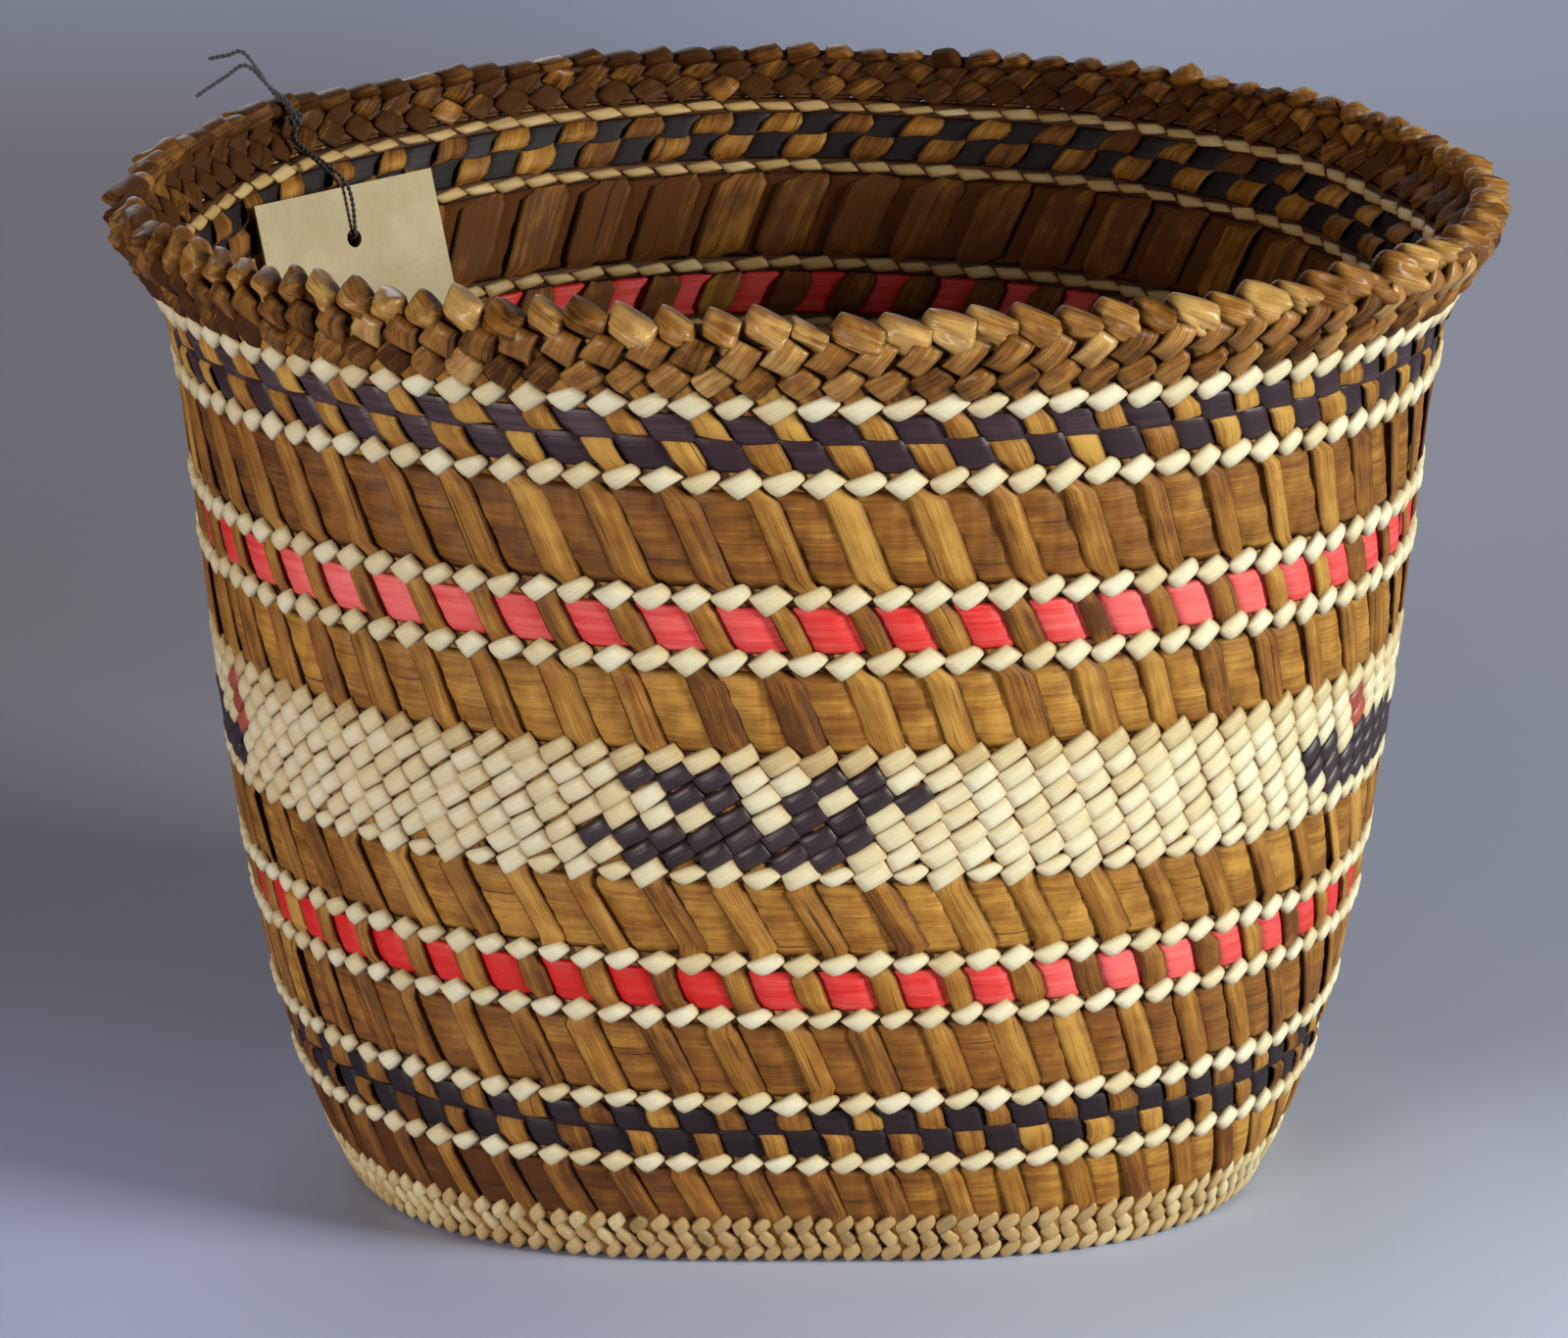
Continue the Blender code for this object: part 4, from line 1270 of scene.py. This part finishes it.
# %% [markdown]
# ## The studio
#
# The basket stands on a pale floor that curves up behind it into a blue-grey backdrop. A profile with
# a quarter circle, carried sideways, makes both in one sheet. The paper isn't one even grey: soft
# steps across and along the floor make it paler behind on the right and darker near the lamps. A
# painted shadow darkens the floor on the left, and a band of painted shade lies just behind the basket.
#
# The main light is a soft lamp low on the right, a little in front. It leaves the inside right wall
# dark. A weaker one in front on the left shows the weave there. Two more are weaker still: one high
# up behind keeps the back readable when the basket is turned, and one overhead reaches the base.

# %% Floor and backdrop
FLOOR_FRONT = -2.5
BEND_START = 1.4
BEND_RADIUS = 0.8
BACKDROP_TOP = 4.0
STUDIO_HALF_WIDTH = 4.0
STUDIO_COLUMNS = 8


def sweep_profile():
    """Floor, quarter circle and back wall, as distance back and height."""
    turn = np.linspace(0.0, math.pi / 2.0, 24)
    bend = np.stack([BEND_START + BEND_RADIUS * np.sin(turn), BEND_RADIUS - BEND_RADIUS * np.cos(turn)], -1)
    return np.concatenate([[[FLOOR_FRONT, 0.0]], bend, [[BEND_START + BEND_RADIUS, BACKDROP_TOP]]])


profile = sweep_profile()
columns = np.linspace(-STUDIO_HALF_WIDTH, STUDIO_HALF_WIDTH, STUDIO_COLUMNS + 1)
aside, step = np.meshgrid(columns, np.arange(len(profile)), indexing="ij")
sheet = np.concatenate([aside[..., None], profile[step]], -1)
start = (np.arange(STUDIO_COLUMNS)[:, None] * len(profile) + np.arange(len(profile) - 1)).reshape(-1, 1)
floor_faces = start + np.array([0, len(profile), len(profile) + 1, 1])
floor_mesh = bpy.data.meshes.new("studio_floor")
floor_mesh.from_pydata(sheet.reshape(-1, 3).tolist(), [], floor_faces.tolist())
floor_mesh.polygons.foreach_set("use_smooth", np.ones(len(floor_mesh.polygons), bool))
floor = bpy.data.objects.new("studio_floor", floor_mesh)
bpy.context.scene.collection.objects.link(floor)
print("studio floor with", len(floor_faces), "faces")

# %% Paper of the studio
LIT_PAPER = (211, 227, 255)
# The lit paper: a band of painted shade just behind the basket, then paler further back.
LIT_STEPS = [(-0.14, 0.05, (159, 166, 189)), (0.10, 0.50, (170, 173, 192)), (0.75, 1.25, (180, 190, 215))]
# The left of the floor: a painted shadow of the basket, darker still just behind it, then paler further
# back.
SHADOWED_PAPER = (180, 187, 228)
SHADOWED_STEPS = [(-0.06, 0.12, (146, 143, 159)), (0.10, 0.35, (130, 126, 139)), (0.85, 1.25, (144, 150, 170))]

ground = Finish("studio_paper")
where = ground.node("ShaderNodeTexCoord", output=3)
right = ground.node("ShaderNodeSeparateXYZ", None, {0: where}, output=0)
behind = ground.node("ShaderNodeSeparateXYZ", None, {0: where}, output=1)


def stepped(colour, steps):
    """A colour that changes to the next one over each stretch of distance behind the basket."""
    for low, high, further in steps:
        colour = ground.mix(behind.step(low, high), colour, further)
    return colour


shade = ground.mix(right.step(-0.22, 0.20), stepped(SHADOWED_PAPER, SHADOWED_STEPS), stepped(LIT_PAPER, LIT_STEPS))
shade = ground.mix(right.step(0.35, 1.40), shade, (112, 118, 132))
shade = ground.mix(behind.step(-1.00, -0.18), (122, 128, 142), shade)
ground.surface(shade, ground.grain(where, (3.0, 3.0, 3.0)) * 0.1 + 0.8)
floor_mesh.materials.append(ground.material)

# %% Lamps and world
BASKET_MIDDLE = (0.0, 0.0, 0.1)
LAMPS = {
    "side_lamp": ((1.84, -0.79, 0.78), BASKET_MIDDLE, 0.68, 47.0, (1.0, 1.0, 0.91)),
    "front_lamp": ((-1.23, -1.68, 0.38), BASKET_MIDDLE, 0.68, 25.0, (1.0, 0.93, 0.84)),
    "back_lamp": ((-0.40, 1.90, 1.20), BASKET_MIDDLE, 1.20, 12.0, (0.96, 0.98, 1.0)),
    "top_lamp": ((0.05, 0.0, 1.60), (0.05, 0.0, 0.0), 0.50, 1.0, (0.88, 0.94, 1.0)),
}


def stand(name, data, place, target):
    """A lamp or camera at a place, turned to a target."""
    made = bpy.data.objects.new(name, data)
    made.location = place
    made.rotation_euler = (Vector(target) - Vector(place)).to_track_quat("-Z", "Y").to_euler()
    bpy.context.scene.collection.objects.link(made)
    return made


for name, (place, target, size, power, colour) in LAMPS.items():
    lamp = bpy.data.lights.new(name, "AREA")
    lamp.size = size
    lamp.energy = power
    lamp.color = colour
    stand(name, lamp, place, target)
world = bpy.data.worlds.new("studio_air")
world.use_nodes = True
air = world.node_tree.nodes["Background"].inputs
air["Color"].default_value = (0.62, 0.66, 0.74, 1.0)
air["Strength"].default_value = 0.03
bpy.context.scene.world = world
bpy.context.scene.view_settings.view_transform = "Standard"

# %% [markdown]
# ## The camera
#
# The camera's place was worked out from the basket's outline: it stands a little over a metre away,
# looks down at about 18 degrees, and has a long lens.

# %% Camera at the photograph's angle
LOOK_AT = Vector((-0.0043, 0.0, 0.0950))
DISTANCE = 1.148
ELEVATION = math.radians(17.82)
lens = bpy.data.cameras.new("camera")
lens.lens = 127.55
lens.sensor_width = 36.0
away = Vector((0.0, -math.cos(ELEVATION), math.sin(ELEVATION)))
bpy.context.scene.camera = stand("camera", lens, LOOK_AT + DISTANCE * away, LOOK_AT)
